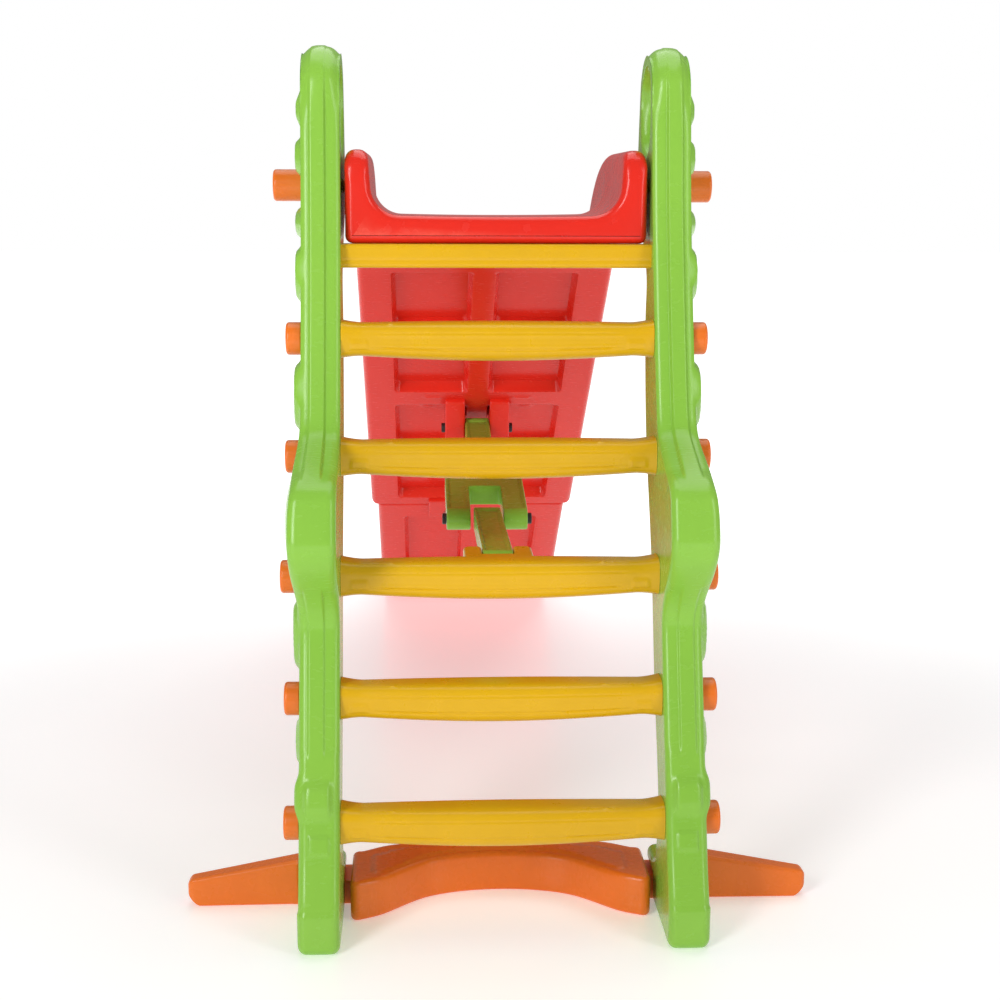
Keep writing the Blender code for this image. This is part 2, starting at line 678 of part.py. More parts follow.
def make_ledge_screws():
    foot = -SLIDE_THICKNESS - GAP - LEDGE_THICKNESS - GAP - 0.004
    for side, word in ((-1, "left"), (1, "right")):
        start, end = ledge_screw_line(side, foot, -0.012)
        headed_screw(f"{word}_slide_screw", start, end, BASE_SCREW_RADIUS, BASE_SCREW_HEAD, 0.004, STEEL, PIVOT)


# Brace between the ladder and the chute

def knee_point():
    """The knee hangs a little below the straight line between the brace's two end pivots."""
    along = (LUG_PIVOT - FRONT_PIVOT).normalized()
    below = Vector((0, along.z, -along.y))
    return FRONT_PIVOT + along * STRUT_REACH + below * KNEE_SAG


KNEE = knee_point()


def bar_frame(start, end):
    """A frame at start: X across, Y towards end and Z upwards."""
    along = (end - start).normalized()
    slope = math.atan2(along.z, along.y)
    return Matrix.Translation(start) @ Matrix.Rotation(slope, 4, "X")


def make_front_strut():
    turn = bar_frame(FRONT_PIVOT, KNEE)
    length = (KNEE - FRONT_PIVOT).length
    half = BRACE_HEIGHT / 2
    strut = box("front_strut", (-STRUT_HALF, 0, -half), (STRUT_HALF, length, half), FRONT_PIVOT, turn)
    as_part(strut, GREEN)
    across = Vector((STRUT_HALF - KNUCKLE_INSET, 0, 0))
    for word, centre in (("front", FRONT_PIVOT), ("knee", KNEE)):
        join(strut, rod(f"strut_{word}_knuckle", centre - across, centre + across, KNUCKLE_RADIUS))
        cut(strut, rod(f"strut_{word}_bore", centre - across * 1.5, centre + across * 1.5, PIVOT_BOLT_RADIUS + GAP))
    return strut


def make_rear_arm():
    """Fork, web and shank in one piece; the fork's prongs stand clear of both sides of the strut."""
    turn = bar_frame(LUG_PIVOT, KNEE)
    length = (KNEE - LUG_PIVOT).length
    half = BRACE_HEIGHT / 2
    fork_root = length - FORK_LENGTH
    web_end = fork_root + FORK_WEB_LENGTH
    plan = [
        (-ARM_HALF, SHANK_LENGTH, "VECTOR"), (-ARM_HALF, 0, "VECTOR"),
        (ARM_HALF, 0, "VECTOR"), (ARM_HALF, SHANK_LENGTH, "VECTOR"),
        (WEB_HALF, fork_root - 0.060, "VECTOR"), (FORK_HALF, fork_root, "VECTOR"),
        (FORK_HALF, length, "VECTOR"), (FORK_INNER, length, "VECTOR"),
        (FORK_INNER, web_end, "VECTOR"), (-FORK_INNER, web_end, "VECTOR"),
        (-FORK_INNER, length, "VECTOR"), (-FORK_HALF, length, "VECTOR"),
        (-FORK_HALF, fork_root, "VECTOR"), (-WEB_HALF, fork_root - 0.060, "VECTOR"),
    ]
    arm = outline_solid("rear_arm", plan, half, Matrix.Translation(-LUG_PIVOT) @ turn, resolution=1)
    arm.location = LUG_PIVOT
    as_part(arm, GREEN)
    eye = Vector((ARM_HALF - KNUCKLE_INSET, 0, 0))
    join(arm, rod("arm_eye", LUG_PIVOT - eye, LUG_PIVOT + eye, KNUCKLE_RADIUS))
    cut(arm, rod("arm_eye_bore", LUG_PIVOT - eye * 1.5, LUG_PIVOT + eye * 1.5, PIVOT_BOLT_RADIUS + GAP))
    for side, word in ((-1, "left"), (1, "right")):
        inner = KNEE + Vector((side * (FORK_INNER + KNUCKLE_INSET), 0, 0))
        outer = KNEE + Vector((side * (FORK_HALF - KNUCKLE_INSET), 0, 0))
        away = Vector((side * 0.01, 0, 0))
        join(arm, rod(f"{word}_prong_knuckle", inner, outer, KNUCKLE_RADIUS))
        cut(arm, rod(f"{word}_prong_bore", inner - away, outer + away, PIVOT_BOLT_RADIUS + GAP))
    return arm


def make_brace_bolts():
    for side, word in ((-1, "left"), (1, "right")):
        head = KNEE + Vector((side * (FORK_HALF + GAP + BOLT_HEAD_LENGTH), 0, 0))
        tip = KNEE + Vector((side * (FORK_INNER + GAP), 0, 0))
        headed_screw(f"{word}_knee_bolt", head, tip, PIVOT_BOLT_RADIUS, BOLT_HEAD_RADIUS, BOLT_HEAD_LENGTH, BLACK,
                     LUG_PIVOT)
    start = LUG_PIVOT - Vector((LUG_OUTER + GAP + BOLT_HEAD_LENGTH, 0, 0))
    end = LUG_PIVOT + Vector((LUG_OUTER + GAP + BOLT_HEAD_LENGTH - 0.002, 0, 0))
    headed_screw("lug_bolt", start, end, PIVOT_BOLT_RADIUS, BOLT_HEAD_RADIUS, BOLT_HEAD_LENGTH, BLACK, PIVOT)
    nut_start = LUG_PIVOT + Vector((LUG_OUTER + GAP, 0, 0))
    nut = rod("lug_nut", nut_start, nut_start + Vector((BOLT_HEAD_LENGTH, 0, 0)), BOLT_HEAD_RADIUS, PIVOT)
    as_part(nut, BLACK)
    cut(nut, rod("lug_nut_bore", nut_start - Vector((0.01, 0, 0)), nut_start + Vector((BOLT_HEAD_LENGTH + 0.01, 0, 0)),
                 PIVOT_BOLT_RADIUS + GAP))
    reach = Vector((BRACKET_HALF - 0.005, 0, 0))
    pin = rod("front_pivot_pin", FRONT_PIVOT - reach, FRONT_PIVOT + reach, PIVOT_BOLT_RADIUS)
    as_part(pin, BLACK)


# Stabiliser base

def base_centre_outline():
    """Plan of the part between the frames: an arched front and a bowed back."""
    back = [(BASE_HALF, BASE_SHOULDER_Y), (BASE_HALF * 0.72, BASE_BACK_Y - 0.004), (0, BASE_BACK_Y)]
    front = [(BASE_HALF * 0.80, BASE_FRONT_Y + 0.016), (BASE_HALF * 0.45, BASE_FRONT_Y + BASE_ARCH_RISE * 0.80),
             (0, BASE_FRONT_Y + BASE_ARCH_RISE)]
    right = [(BASE_HALF, BASE_FRONT_Y, "VECTOR"), (*back[0], "VECTOR"), (*back[1], "AUTO")]
    left = [(-back[1][0], back[1][1], "AUTO"), (-back[0][0], back[0][1], "VECTOR"),
            (-BASE_HALF, BASE_FRONT_Y, "VECTOR")]
    arch = [(-front[0][0], front[0][1], "AUTO"), (-front[1][0], front[1][1], "AUTO"), (*front[2], "AUTO"),
            (front[1][0], front[1][1], "AUTO"), (front[0][0], front[0][1], "AUTO")]
    return right + [(*back[2], "AUTO")] + left + arch


def make_base():
    centre_place = Matrix.Translation((0, 0, BASE_HEIGHT / 2))
    base = outline_solid("stabiliser_base", base_centre_outline(), BASE_HEIGHT / 2, centre_place)
    as_part(base, ORANGE)
    wing_root = FRAME_OUTER + SADDLE_SIDE_GAP
    for side, word in ((-1, "left"), (1, "right")):
        inner, outer = sorted((side * (BASE_HALF - 0.030), side * (wing_root + 0.012)))
        join(base, box(f"{word}_neck", (inner, NECK_FRONT_Y, 0), (outer, NECK_BACK_Y, NECK_HEIGHT)))

        def wing(bm, side=side):
            tip = wing_root + WING_REACH
            sections = []
            for x, depth, height in ((wing_root, WING_ROOT_DEPTH, WING_ROOT_HEIGHT),
                                     (tip, WING_TIP_DEPTH, WING_TIP_HEIGHT)):
                back = NECK_FRONT_Y + depth
                sections.append([(side * x, NECK_FRONT_Y, 0), (side * x, back, 0),
                                 (side * x, back, height), (side * x, NECK_FRONT_Y, height)])
            loft(bm, sections)

        join(base, mesh_object(f"{word}_wing", wing))
        neck_x = side * (INNER_HALF + FRAME_THICKNESS / 2)
        screw_y = (NECK_FRONT_Y + NECK_BACK_Y) / 2
        cut(base, rod(f"{word}_base_screw_hole", (neck_x, screw_y, -0.01), (neck_x, screw_y, NECK_HEIGHT + 0.01),
                      BASE_SCREW_RADIUS + GAP))
        cut(base, rod(f"{word}_base_counterbore", (neck_x, screw_y, -0.01), (neck_x, screw_y, 0.007),
                      BASE_SCREW_HEAD + GAP))
    return base


def make_base_screws():
    screw_y = (NECK_FRONT_Y + NECK_BACK_Y) / 2
    for side, word in ((-1, "left"), (1, "right")):
        neck_x = side * (INNER_HALF + FRAME_THICKNESS / 2)
        headed_screw(f"{word}_base_screw", (neck_x, screw_y, 0.002), (neck_x, screw_y, BASE_SCREW_TIP_Z),
                     BASE_SCREW_RADIUS, BASE_SCREW_HEAD, 0.0045, STEEL)


clear_scene()
parts = make_collection("toddler_slide")
cutters = make_collection("cutters")
cutters.hide_render = True

SIDES = ((-1, "left"), (1, "right"))
for side, word in SIDES:
    make_side_frame(f"{word}_side_frame", side)
for number in range(1, STEP_COUNT + 1):
    step = make_step(number)
    if number == BRACKET_STEP:
        add_brace_bracket(step)
    at = Vector((0, ladder_y(step_z(number)), step_z(number)))
    for side, word in SIDES:
        make_cap(f"step_{number}_{word}_cap", side, cap_seat_x(number), at, CAP_LENGTH, SPIGOT_RADIUS)
make_platform_bar()
for side, word in SIDES:
    make_cap(f"{word}_pivot_cap", side, FRAME_OUTER, PIVOT, PIVOT_CAP_LENGTH, PIVOT_PIN_RADIUS)
    pin = rod(f"{word}_pivot_pin", (side * (UPPER_HALF - PIN_DEPTH_IN_WALL), PIVOT.y, PIVOT.z),
              (side * (FRAME_OUTER + PIVOT_CAP_LENGTH - CAP_END_WALL - 0.001), PIVOT.y, PIVOT.z), PIVOT_PIN_RADIUS)
    as_part(pin, ORANGE)
make_upper_slide()
make_lower_slide()
make_ledge_screws()
make_front_strut()
make_rear_arm()
make_brace_bolts()
make_base()
make_base_screws()
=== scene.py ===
import json
import math
import bpy
import bmesh
import numpy as np
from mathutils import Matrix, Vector
from mathutils.geometry import delaunay_2d_cdt


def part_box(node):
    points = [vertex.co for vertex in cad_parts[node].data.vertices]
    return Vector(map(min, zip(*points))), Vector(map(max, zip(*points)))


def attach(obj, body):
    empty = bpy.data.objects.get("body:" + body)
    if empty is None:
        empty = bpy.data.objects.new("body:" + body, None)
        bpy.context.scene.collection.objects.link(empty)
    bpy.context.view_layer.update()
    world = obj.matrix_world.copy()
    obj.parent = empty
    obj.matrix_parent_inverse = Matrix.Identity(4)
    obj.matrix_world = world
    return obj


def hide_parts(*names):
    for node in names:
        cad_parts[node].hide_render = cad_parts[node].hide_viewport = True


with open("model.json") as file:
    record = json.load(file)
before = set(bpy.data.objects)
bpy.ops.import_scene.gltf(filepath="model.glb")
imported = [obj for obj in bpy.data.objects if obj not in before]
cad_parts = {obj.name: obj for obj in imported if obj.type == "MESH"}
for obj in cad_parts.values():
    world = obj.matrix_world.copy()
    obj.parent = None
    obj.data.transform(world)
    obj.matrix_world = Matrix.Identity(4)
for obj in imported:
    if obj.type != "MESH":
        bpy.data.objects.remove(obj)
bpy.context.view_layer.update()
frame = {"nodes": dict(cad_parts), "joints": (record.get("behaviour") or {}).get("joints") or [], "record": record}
cadNodes = frame["nodes"]
ladderBody, chuteBody, armBody, strutBody = "ladder", "chute", "rear_arm_body", "front_strut_body"
sides = (("left", -1), ("right", 1))
stepNumbers = range(1, 6)
screwInset = 0.019  # from a side frame's inner face to the end of its base screw
print("frame loaded:", len(cadNodes), "nodes")


# places read from the frame
def boxOf(node):
    low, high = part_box(node)
    return np.array(low), np.array(high)


def jointPlace(name):
    return np.array([j["pos_m"] for j in frame["joints"] if j["name"] == name][0])


pivot = jointPlace("chute_fold")
lugPivot = jointPlace("rear_arm_fold")
frontPivot = jointPlace("front_strut_fold")
barLow, barHigh = boxOf("platform_bar")
barCentre = (barLow + barHigh) / 2
barSize = barHigh[2] - barLow[2]
stepPlace = {k: (sum(boxOf(f"step_{k}_left_cap")) / 2)[1:] for k in stepNumbers}
leanTan = (stepPlace[5][0] - stepPlace[1][0]) / (stepPlace[5][1] - stepPlace[1][1])
innerHalf = -boxOf("left_base_screw")[1][0] - screwInset
loopTop = boxOf("left_side_frame")[1][2]


def ladderY(z):
    # the line through the five step centres
    return stepPlace[1][0] + leanTan * (z - stepPlace[1][1])


# small tools for shapes
def smooth(low, high, x):
    # 0 below low, 1 above high, and 3t^2 - 2t^3 between them
    t = np.clip((np.asarray(x, float) - low) / (high - low), 0, 1)
    return t * t * (3 - 2 * t)


def newObject(name, verts, faces, heal=True, sharp=40):
    mesh = bpy.data.meshes.new(name)
    mesh.from_pydata([tuple(map(float, p)) for p in verts], [], faces)
    if heal:
        bm = bmesh.new()
        bm.from_mesh(mesh)
        bmesh.ops.remove_doubles(bm, verts=bm.verts, dist=2e-6)
        bmesh.ops.recalc_face_normals(bm, faces=bm.faces)
        bm.to_mesh(mesh)
        bm.free()
    mesh.shade_smooth()
    mesh.set_sharp_from_angle(angle=math.radians(sharp))
    made = bpy.data.objects.new(name, mesh)
    bpy.context.scene.collection.objects.link(made)
    return made


def skin(grid, start=0, closeEnds=True):
    # grid[u, v] is a point: v runs round the section, u along the piece. Gives the points and the faces.
    nu, nv = grid.shape[:2]
    ids = start + np.arange(nu * nv).reshape(nu, nv)
    j = np.arange(nv)
    k = (j + 1) % nv
    quads = np.stack([ids[:-1][:, j], ids[:-1][:, k], ids[1:][:, k], ids[1:][:, j]], -1).reshape(-1, 4)
    faces = quads.tolist()
    if closeEnds:
        faces += [ids[0].tolist()[::-1], ids[-1].tolist()]
    return grid.reshape(-1, 3), faces


def joined(name, pieces, sharp=40):
    points, faces, count = [], [], 0
    for p, f in pieces:
        points.append(np.asarray(p).reshape(-1, 3))
        faces += [[i + count for i in face] for face in f]
        count += len(points[-1])
    return newObject(name, np.concatenate(points), faces, sharp=sharp)


def turned(centre, axisX, profile, segments=48):
    # a profile of (distance along X, radius) spun about an X axis through centre
    a = np.linspace(0, 2 * math.pi, segments, endpoint=False)
    profile = np.array(profile, float)
    grid = np.zeros((len(profile), segments, 3))
    grid[..., 0] = centre[0] + axisX * profile[:, :1]
    grid[..., 1] = centre[1] + profile[:, 1:] * np.cos(a)
    grid[..., 2] = centre[2] + profile[:, 1:] * np.sin(a)
    return grid


def inwardNormals(ring):
    along = np.roll(ring, -1, 0) - np.roll(ring, 1, 0)
    along /= np.linalg.norm(along, axis=1)[:, None]
    normals = np.stack([-along[:, 1], along[:, 0]], -1)
    area = np.sum(ring[:, 0] * np.roll(ring[:, 1], -1) - np.roll(ring[:, 0], -1) * ring[:, 1])
    return normals if area > 0 else -normals


def distanceTo(ring, points):
    # shortest distance from each point to the closed outline
    a, b = ring, np.roll(ring, -1, 0)
    ab = b - a
    best = np.full(len(points), 9.0)
    for s in range(0, len(points), 2000):
        q = points[s:s + 2000, None, :]
        t = np.clip(((q - a) * ab).sum(-1) / (ab ** 2).sum(-1), 0, 1)
        best[s:s + 2000] = np.linalg.norm(q - (a + t[..., None] * ab), axis=-1).min(1)
    return best


def insideOf(ring, points):
    # a point is inside if a line from it crosses the outline an odd number of times
    a, b = ring, np.roll(ring, -1, 0)
    result = np.zeros(len(points), bool)
    for s in range(0, len(points), 4000):
        y, z = points[s:s + 4000, :1], points[s:s + 4000, 1:]
        crosses = (a[:, 1] > z) != (b[:, 1] > z)
        dz = np.where(np.abs(b[:, 1] - a[:, 1]) < 1e-12, 1e-12, b[:, 1] - a[:, 1])
        cut = y < (b[:, 0] - a[:, 0]) * (z - a[:, 1]) / dz + a[:, 0]
        result[s:s + 4000] = (crosses & cut).sum(1) % 2 == 1
    return result


# camera, lights and floor
view = {"place": (-0.1074, -2.2309, 0.9764), "yaw": 2.769, "pitch": 10.503, "roll": 0.208, "lens": 59.4}
camera = bpy.data.objects.new("camera", bpy.data.cameras.new("camera"))
bpy.context.scene.collection.objects.link(camera)
camera.location = view["place"]
camera.rotation_euler = [math.radians(a) for a in (90 - view["pitch"], -view["roll"], -view["yaw"])]
camera.data.lens = view["lens"]
camera.data.sensor_width = 36
camera.data.clip_end = 60
bpy.context.scene.camera = camera

studio = {
    # each lamp: where it stands, what it points at, its size and its watts
    "lamps": {"keyLight": ((-2.1, -2.9, 2.0), (0, 0.2, 0.6), (0.9, 2.2), 74),
              "fillLight": ((2.5, -2.3, 1.7), (0, 0.3, 0.5), (0.9, 2.4), 30),
              "topLight": ((0.2, 1.2, 3.4), (0, 0.8, 0.3), (3.0, 3.0), 56)},
    "sky": 0.26, "floorTone": 0.93, "floorGloss": 0.32, "floorX": 14, "floorNear": -9, "floorFar": 26,
    "glow": {"From Min": 1.0, "From Max": 3.2, "To Min": 0.29, "To Max": 1.0},
}


def areaLight(name, place, target, size, watts):
    data = bpy.data.lights.new(name, "AREA")
    data.shape = "RECTANGLE"
    data.size, data.size_y = size
    data.energy = watts
    lamp = bpy.data.objects.new(name, data)
    bpy.context.scene.collection.objects.link(lamp)
    lamp.location = place
    lamp.rotation_euler = (Vector(target) - Vector(place)).to_track_quat("-Z", "Y").to_euler()


def studioSky():
    # a soft even sky for the light, and plain white where the camera looks past the floor
    world = bpy.data.worlds.new("studioSky")
    world.use_nodes = True
    nodes, links = world.node_tree.nodes, world.node_tree.links
    soft = nodes["Background"]
    white, path, either = [nodes.new(f"ShaderNode{kind}") for kind in ("Background", "LightPath", "MixShader")]
    soft.inputs["Color"].default_value = (1, 1, 1, 1)
    soft.inputs["Strength"].default_value = studio["sky"]
    white.inputs["Color"].default_value = (1, 1, 1, 1)
    links.new(path.outputs["Is Camera Ray"], either.inputs["Fac"])
    links.new(soft.outputs[0], either.inputs[1])
    links.new(white.outputs[0], either.inputs[2])
    links.new(either.outputs[0], nodes["World Output"].inputs["Surface"])
    return world


def paleFloor():
    # the floor shines a little, and more with distance, so that it meets the white backdrop without a line
    paper = bpy.data.materials.new("paleFloor")
    paper.use_nodes = True
    nodes, links = paper.node_tree.nodes, paper.node_tree.links
    shader = nodes["Principled BSDF"]
    shader.inputs["Base Color"].default_value = (*[studio["floorTone"]] * 3, 1)
    shader.inputs["Roughness"].default_value = studio["floorGloss"]
    shader.inputs["Emission Strength"].default_value = 1
    place, reach, ramp = [nodes.new(f"ShaderNode{kind}") for kind in ("TexCoord", "VectorMath", "MapRange")]
    reach.operation = "LENGTH"
    ramp.interpolation_type = "SMOOTHSTEP"
    for socket, value in studio["glow"].items():
        ramp.inputs[socket].default_value = value
    links.new(place.outputs["Object"], reach.inputs[0])
    links.new(reach.outputs["Value"], ramp.inputs["Value"])
    links.new(ramp.outputs["Result"], shader.inputs["Emission Color"])
    return paper


for name, settings in studio["lamps"].items():
    areaLight(name, *settings)
bpy.context.scene.world = studioSky()
bpy.context.scene.view_settings.view_transform = "Standard"
floorCorners = [(x * studio["floorX"], studio[end], 0) for x, end in ((-1, "floorNear"), (1, "floorNear"),
                                                                      (1, "floorFar"), (-1, "floorFar"))]
floor = newObject("floor", floorCorners, [(0, 1, 2, 3)], heal=False)
floor.data.materials.append(paleFloor())
print("camera, lights and floor made")


# materials
skinLook = {
    # noise scale and detail of each pattern, and the span of its values that is spread out
    "broad": (3.2, 2), "mottle": (38, 4), "rub": (26, 5), "scuff": (60, 3), "ripple": (85, 1),
    "grain": (520, 2),
    "spans": {"broad": (0.36, 0.66), "mottle": (0.35, 0.70), "rub": (0.34, 0.60), "scuff": (0.60, 0.74)},
    "scuffStretch": (1.0, 7.0, 1.0), "edgeSpan": (0.53, 0.62), "broadShare": 0.7, "mottleShare": 0.3,
    "wornShare": 0.6, "scuffRough": 0.14, "mottleRough": 0.06, "wornRough": 0.12, "rippleShare": 0.6,
    "grainShare": 0.10,
}


def skinGroup():
    # moulded plastic: broad tone drift, fine mottling, paler worn edges, uneven gloss, and a faint ripple
    group = bpy.data.node_groups.new("mouldedSkin", "ShaderNodeTree")
    for name, kind in (("Place", "Vector"), ("Edge", "Float"), ("Tone", "Color"), ("Deep", "Color"),
                       ("Worn", "Color"), ("Gloss", "Float"), ("Drift", "Float")):
        group.interface.new_socket(name=name, in_out="INPUT", socket_type=f"NodeSocket{kind}")
    for name, kind in (("Color", "Color"), ("Roughness", "Float"), ("Height", "Float")):
        group.interface.new_socket(name=name, in_out="OUTPUT", socket_type=f"NodeSocket{kind}")
    nodes, links = group.nodes, group.links
    source, sink = nodes.new("NodeGroupInput"), nodes.new("NodeGroupOutput")

    def noise(kind, stretch=None):
        made = nodes.new("ShaderNodeTexNoise")
        made.inputs["Scale"].default_value, made.inputs["Detail"].default_value = skinLook[kind]
        place = source.outputs["Place"]
        if stretch:
            mapping = nodes.new("ShaderNodeMapping")
            mapping.inputs["Scale"].default_value = stretch
            links.new(place, mapping.inputs["Vector"])
            place = mapping.outputs["Vector"]
        links.new(place, made.inputs["Vector"])
        return made.outputs["Fac"]

    def maths(kind, a, b):
        made = nodes.new("ShaderNodeMath")
        made.operation = kind
        for socket, value in zip(made.inputs, (a, b)):
            if isinstance(value, (int, float)):
                socket.default_value = value
            else:
                links.new(value, socket)
        return made.outputs[0]

    def spread(value, low, high):
        made = nodes.new("ShaderNodeMapRange")
        links.new(value, made.inputs["Value"])
        made.inputs["From Min"].default_value, made.inputs["From Max"].default_value = low, high
        return made.outputs["Result"]

    def blend(share, a, b):
        made = nodes.new("ShaderNodeMix")
        made.data_type = "RGBA"
        for socket, value in (("Factor", share), ("A", a), ("B", b)):
            links.new(value, made.inputs[socket])
        return made.outputs["Result"]

    def pattern(kind, stretch=None):
        return spread(noise(kind, stretch), *skinLook["spans"][kind])

    def added(a, aShare, b, bShare):
        return maths("ADD", maths("MULTIPLY", a, skinLook[aShare]), maths("MULTIPLY", b, skinLook[bShare]))

    broad, mottle = pattern("broad"), pattern("mottle")
    drift = maths("MULTIPLY", added(broad, "broadShare", mottle, "mottleShare"), source.outputs["Drift"])
    colour = blend(drift, source.outputs["Tone"], source.outputs["Deep"])
    rubbed = maths("MULTIPLY", spread(source.outputs["Edge"], *skinLook["edgeSpan"]), pattern("rub"))
    colour = blend(maths("MULTIPLY", rubbed, skinLook["wornShare"]), colour, source.outputs["Worn"])
    scuff = pattern("scuff", skinLook["scuffStretch"])
    rough = source.outputs["Gloss"]
    for mask, share in ((scuff, "scuffRough"), (mottle, "mottleRough"), (rubbed, "wornRough")):
        rough = maths("ADD", rough, maths("MULTIPLY", mask, skinLook[share]))
    height = added(noise("ripple"), "rippleShare", noise("grain"), "grainShare")
    links.new(colour, sink.inputs["Color"])
    links.new(rough, sink.inputs["Roughness"])
    links.new(height, sink.inputs["Height"])
    return group


moulded = skinGroup()
plasticLook = {"drift": 0.5, "bump": 0.16, "bumpDistance": 0.0012, "specular": 0.36}


def plastic(name, tone, deep, worn, gloss=0.22, metallic=0.0):
    made = bpy.data.materials.new(name)
    made.use_nodes = True
    nodes, links = made.node_tree.nodes, made.node_tree.links
    shader = nodes["Principled BSDF"]
    skinNode = nodes.new("ShaderNodeGroup")
    skinNode.node_tree = moulded
    place, shape, bump = [nodes.new(f"ShaderNode{kind}") for kind in ("TexCoord", "NewGeometry", "Bump")]
    links.new(place.outputs["Object"], skinNode.inputs["Place"])
    links.new(shape.outputs["Pointiness"], skinNode.inputs["Edge"])
    for socket, colour in (("Tone", tone), ("Deep", deep), ("Worn", worn)):
        skinNode.inputs[socket].default_value = (*colour, 1)
    skinNode.inputs["Gloss"].default_value = gloss
    skinNode.inputs["Drift"].default_value = plasticLook["drift"]
    bump.inputs["Strength"].default_value = plasticLook["bump"]
    bump.inputs["Distance"].default_value = plasticLook["bumpDistance"]
    links.new(skinNode.outputs["Color"], shader.inputs["Base Color"])
    links.new(skinNode.outputs["Roughness"], shader.inputs["Roughness"])
    links.new(skinNode.outputs["Height"], bump.inputs["Height"])
    links.new(bump.outputs["Normal"], shader.inputs["Normal"])
    shader.inputs["Specular IOR Level"].default_value = plasticLook["specular"]
    shader.inputs["Metallic"].default_value = metallic
    return made


# tone, deeper tone and worn tone of each
green = plastic("limeMoulding", (0.262, 0.535, 0.060), (0.212, 0.470, 0.044), (0.42, 0.70, 0.18))
yellow = plastic("yellowMoulding", (0.74, 0.42, 0.003), (0.60, 0.33, 0.002), (0.88, 0.62, 0.06), gloss=0.27)
red = plastic("redMoulding", (0.76, 0.024, 0.012), (0.66, 0.016, 0.008), (0.86, 0.14, 0.09), gloss=0.20)
orange = plastic("orangeMoulding", (0.86, 0.185, 0.016), (0.74, 0.140, 0.010), (0.92, 0.32, 0.09), gloss=0.25)
black = plastic("blackBolt", (0.016, 0.014, 0.014), (0.008, 0.008, 0.008), (0.09, 0.09, 0.09), gloss=0.38)
steel = plastic("screwSteel", (0.52, 0.52, 0.53), (0.40, 0.40, 0.41), (0.66, 0.66, 0.66), gloss=0.26,
                metallic=1.0)
materialOf = {"green_plastic": green, "yellow_plastic": yellow, "red_plastic": red, "orange_plastic": orange,
              "black_bolt": black, "steel_screw": steel}
for part in frame["record"]["subparts"]:
    node = cadNodes[part["node"]]
    node.data.materials.clear()
    node.data.materials.append(materialOf[part["material_slot"]])
print("materials made")


def finish(piece, body, slotName, *nodes):
    piece.data.materials.append(materialOf[slotName])
    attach(piece, body)
    if nodes:
        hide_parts(*nodes)


# outlines and moulded plates
def openSpline(points):
    # centripetal Catmull-Rom curve through the points, as 16 short chords between each two
    p = np.array(points, float)
    p = np.vstack([2 * p[0] - p[1], p, 2 * p[-1] - p[-2]])
    knots = np.concatenate([[0], np.cumsum(np.linalg.norm(np.diff(p, axis=0), axis=1) ** 0.5)])
    spans = len(p) - 3
    t0, t1, t2, t3 = (knots[i:spans + i][:, None, None] for i in range(4))
    p0, p1, p2, p3 = (p[i:spans + i][:, None, :] for i in range(4))
    t = t1 + (t2 - t1) * np.linspace(0, 1, 16, endpoint=False)[None, :, None]
    a1 = ((t1 - t) * p0 + (t - t0) * p1) / (t1 - t0)
    a2 = ((t2 - t) * p1 + (t - t1) * p2) / (t2 - t1)
    a3 = ((t3 - t) * p2 + (t - t2) * p3) / (t3 - t2)
    b1 = ((t2 - t) * a1 + (t - t0) * a2) / (t2 - t0)
    b2 = ((t3 - t) * a2 + (t - t1) * a3) / (t3 - t1)
    dense = (((t2 - t) * b1 + (t - t1) * b2) / (t2 - t1)).reshape(-1, 2)
    return np.vstack([dense, p[-2:-1]])


def evenly(ring, step):
    closed = np.vstack([ring, ring[:1]])
    run = np.concatenate([[0], np.cumsum(np.linalg.norm(np.diff(closed, axis=0), axis=1))])
    at = np.linspace(0, run[-1], max(8, int(run[-1] / step)), endpoint=False)
    return np.stack([np.interp(at, run, closed[:, i]) for i in (0, 1)], -1)


def roundedPolygon(corners, step=0.003):
    # straight runs joined by arcs; a corner is (u, v, radius), and a radius of 0 keeps the point
    p = np.array([c[:2] for c in corners], float)
    out = []
    for i, radius in enumerate([c[2] if len(c) > 2 else 0 for c in corners]):
        if radius == 0:
            out.append(p[i:i + 1])
            continue
        a, b = p[i - 1] - p[i], p[(i + 1) % len(p)] - p[i]
        a, b = a / np.linalg.norm(a), b / np.linalg.norm(b)
        half = math.acos(np.clip(a @ b, -1, 1)) / 2
        centre = p[i] + (a + b) / np.linalg.norm(a + b) * radius / math.sin(half)
        first, last = [p[i] + e * radius / math.tan(half) - centre for e in (a, b)]
        start = math.atan2(first[1], first[0])
        turn = (math.atan2(last[1], last[0]) - start + math.pi) % (2 * math.pi) - math.pi
        at = start + turn * np.linspace(0, 1, max(4, int(abs(turn) * radius / 0.0015)))
        out.append(centre + radius * np.stack([np.cos(at), np.sin(at)], -1))
    return evenly(np.vstack(out), step)


def circle(centre, radius, step=0.003):
    a = np.linspace(0, 2 * math.pi, max(16, int(2 * math.pi * radius / step)), endpoint=False)
    return np.array(centre) + radius * np.stack([np.cos(a), np.sin(a)], -1)


def edgeProfile(thickness, radius, middle=(), steps=6):
    # (inset, height) from the bottom face round the edge to the top face: quarter circle, flat, quarter circle
    a = np.linspace(0, math.pi / 2, steps)
    corner = np.stack([radius * (1 - np.sin(a)), radius * (1 - np.cos(a))], -1)
    flat = np.array([(0, w) for w in middle]).reshape(-1, 2)
    lip = np.array([[radius + 0.0006, 0]])
    top = corner[::-1] * (1, -1) + (0, thickness)
    return np.vstack([lip, corner, flat, top, lip + (0, thickness)])


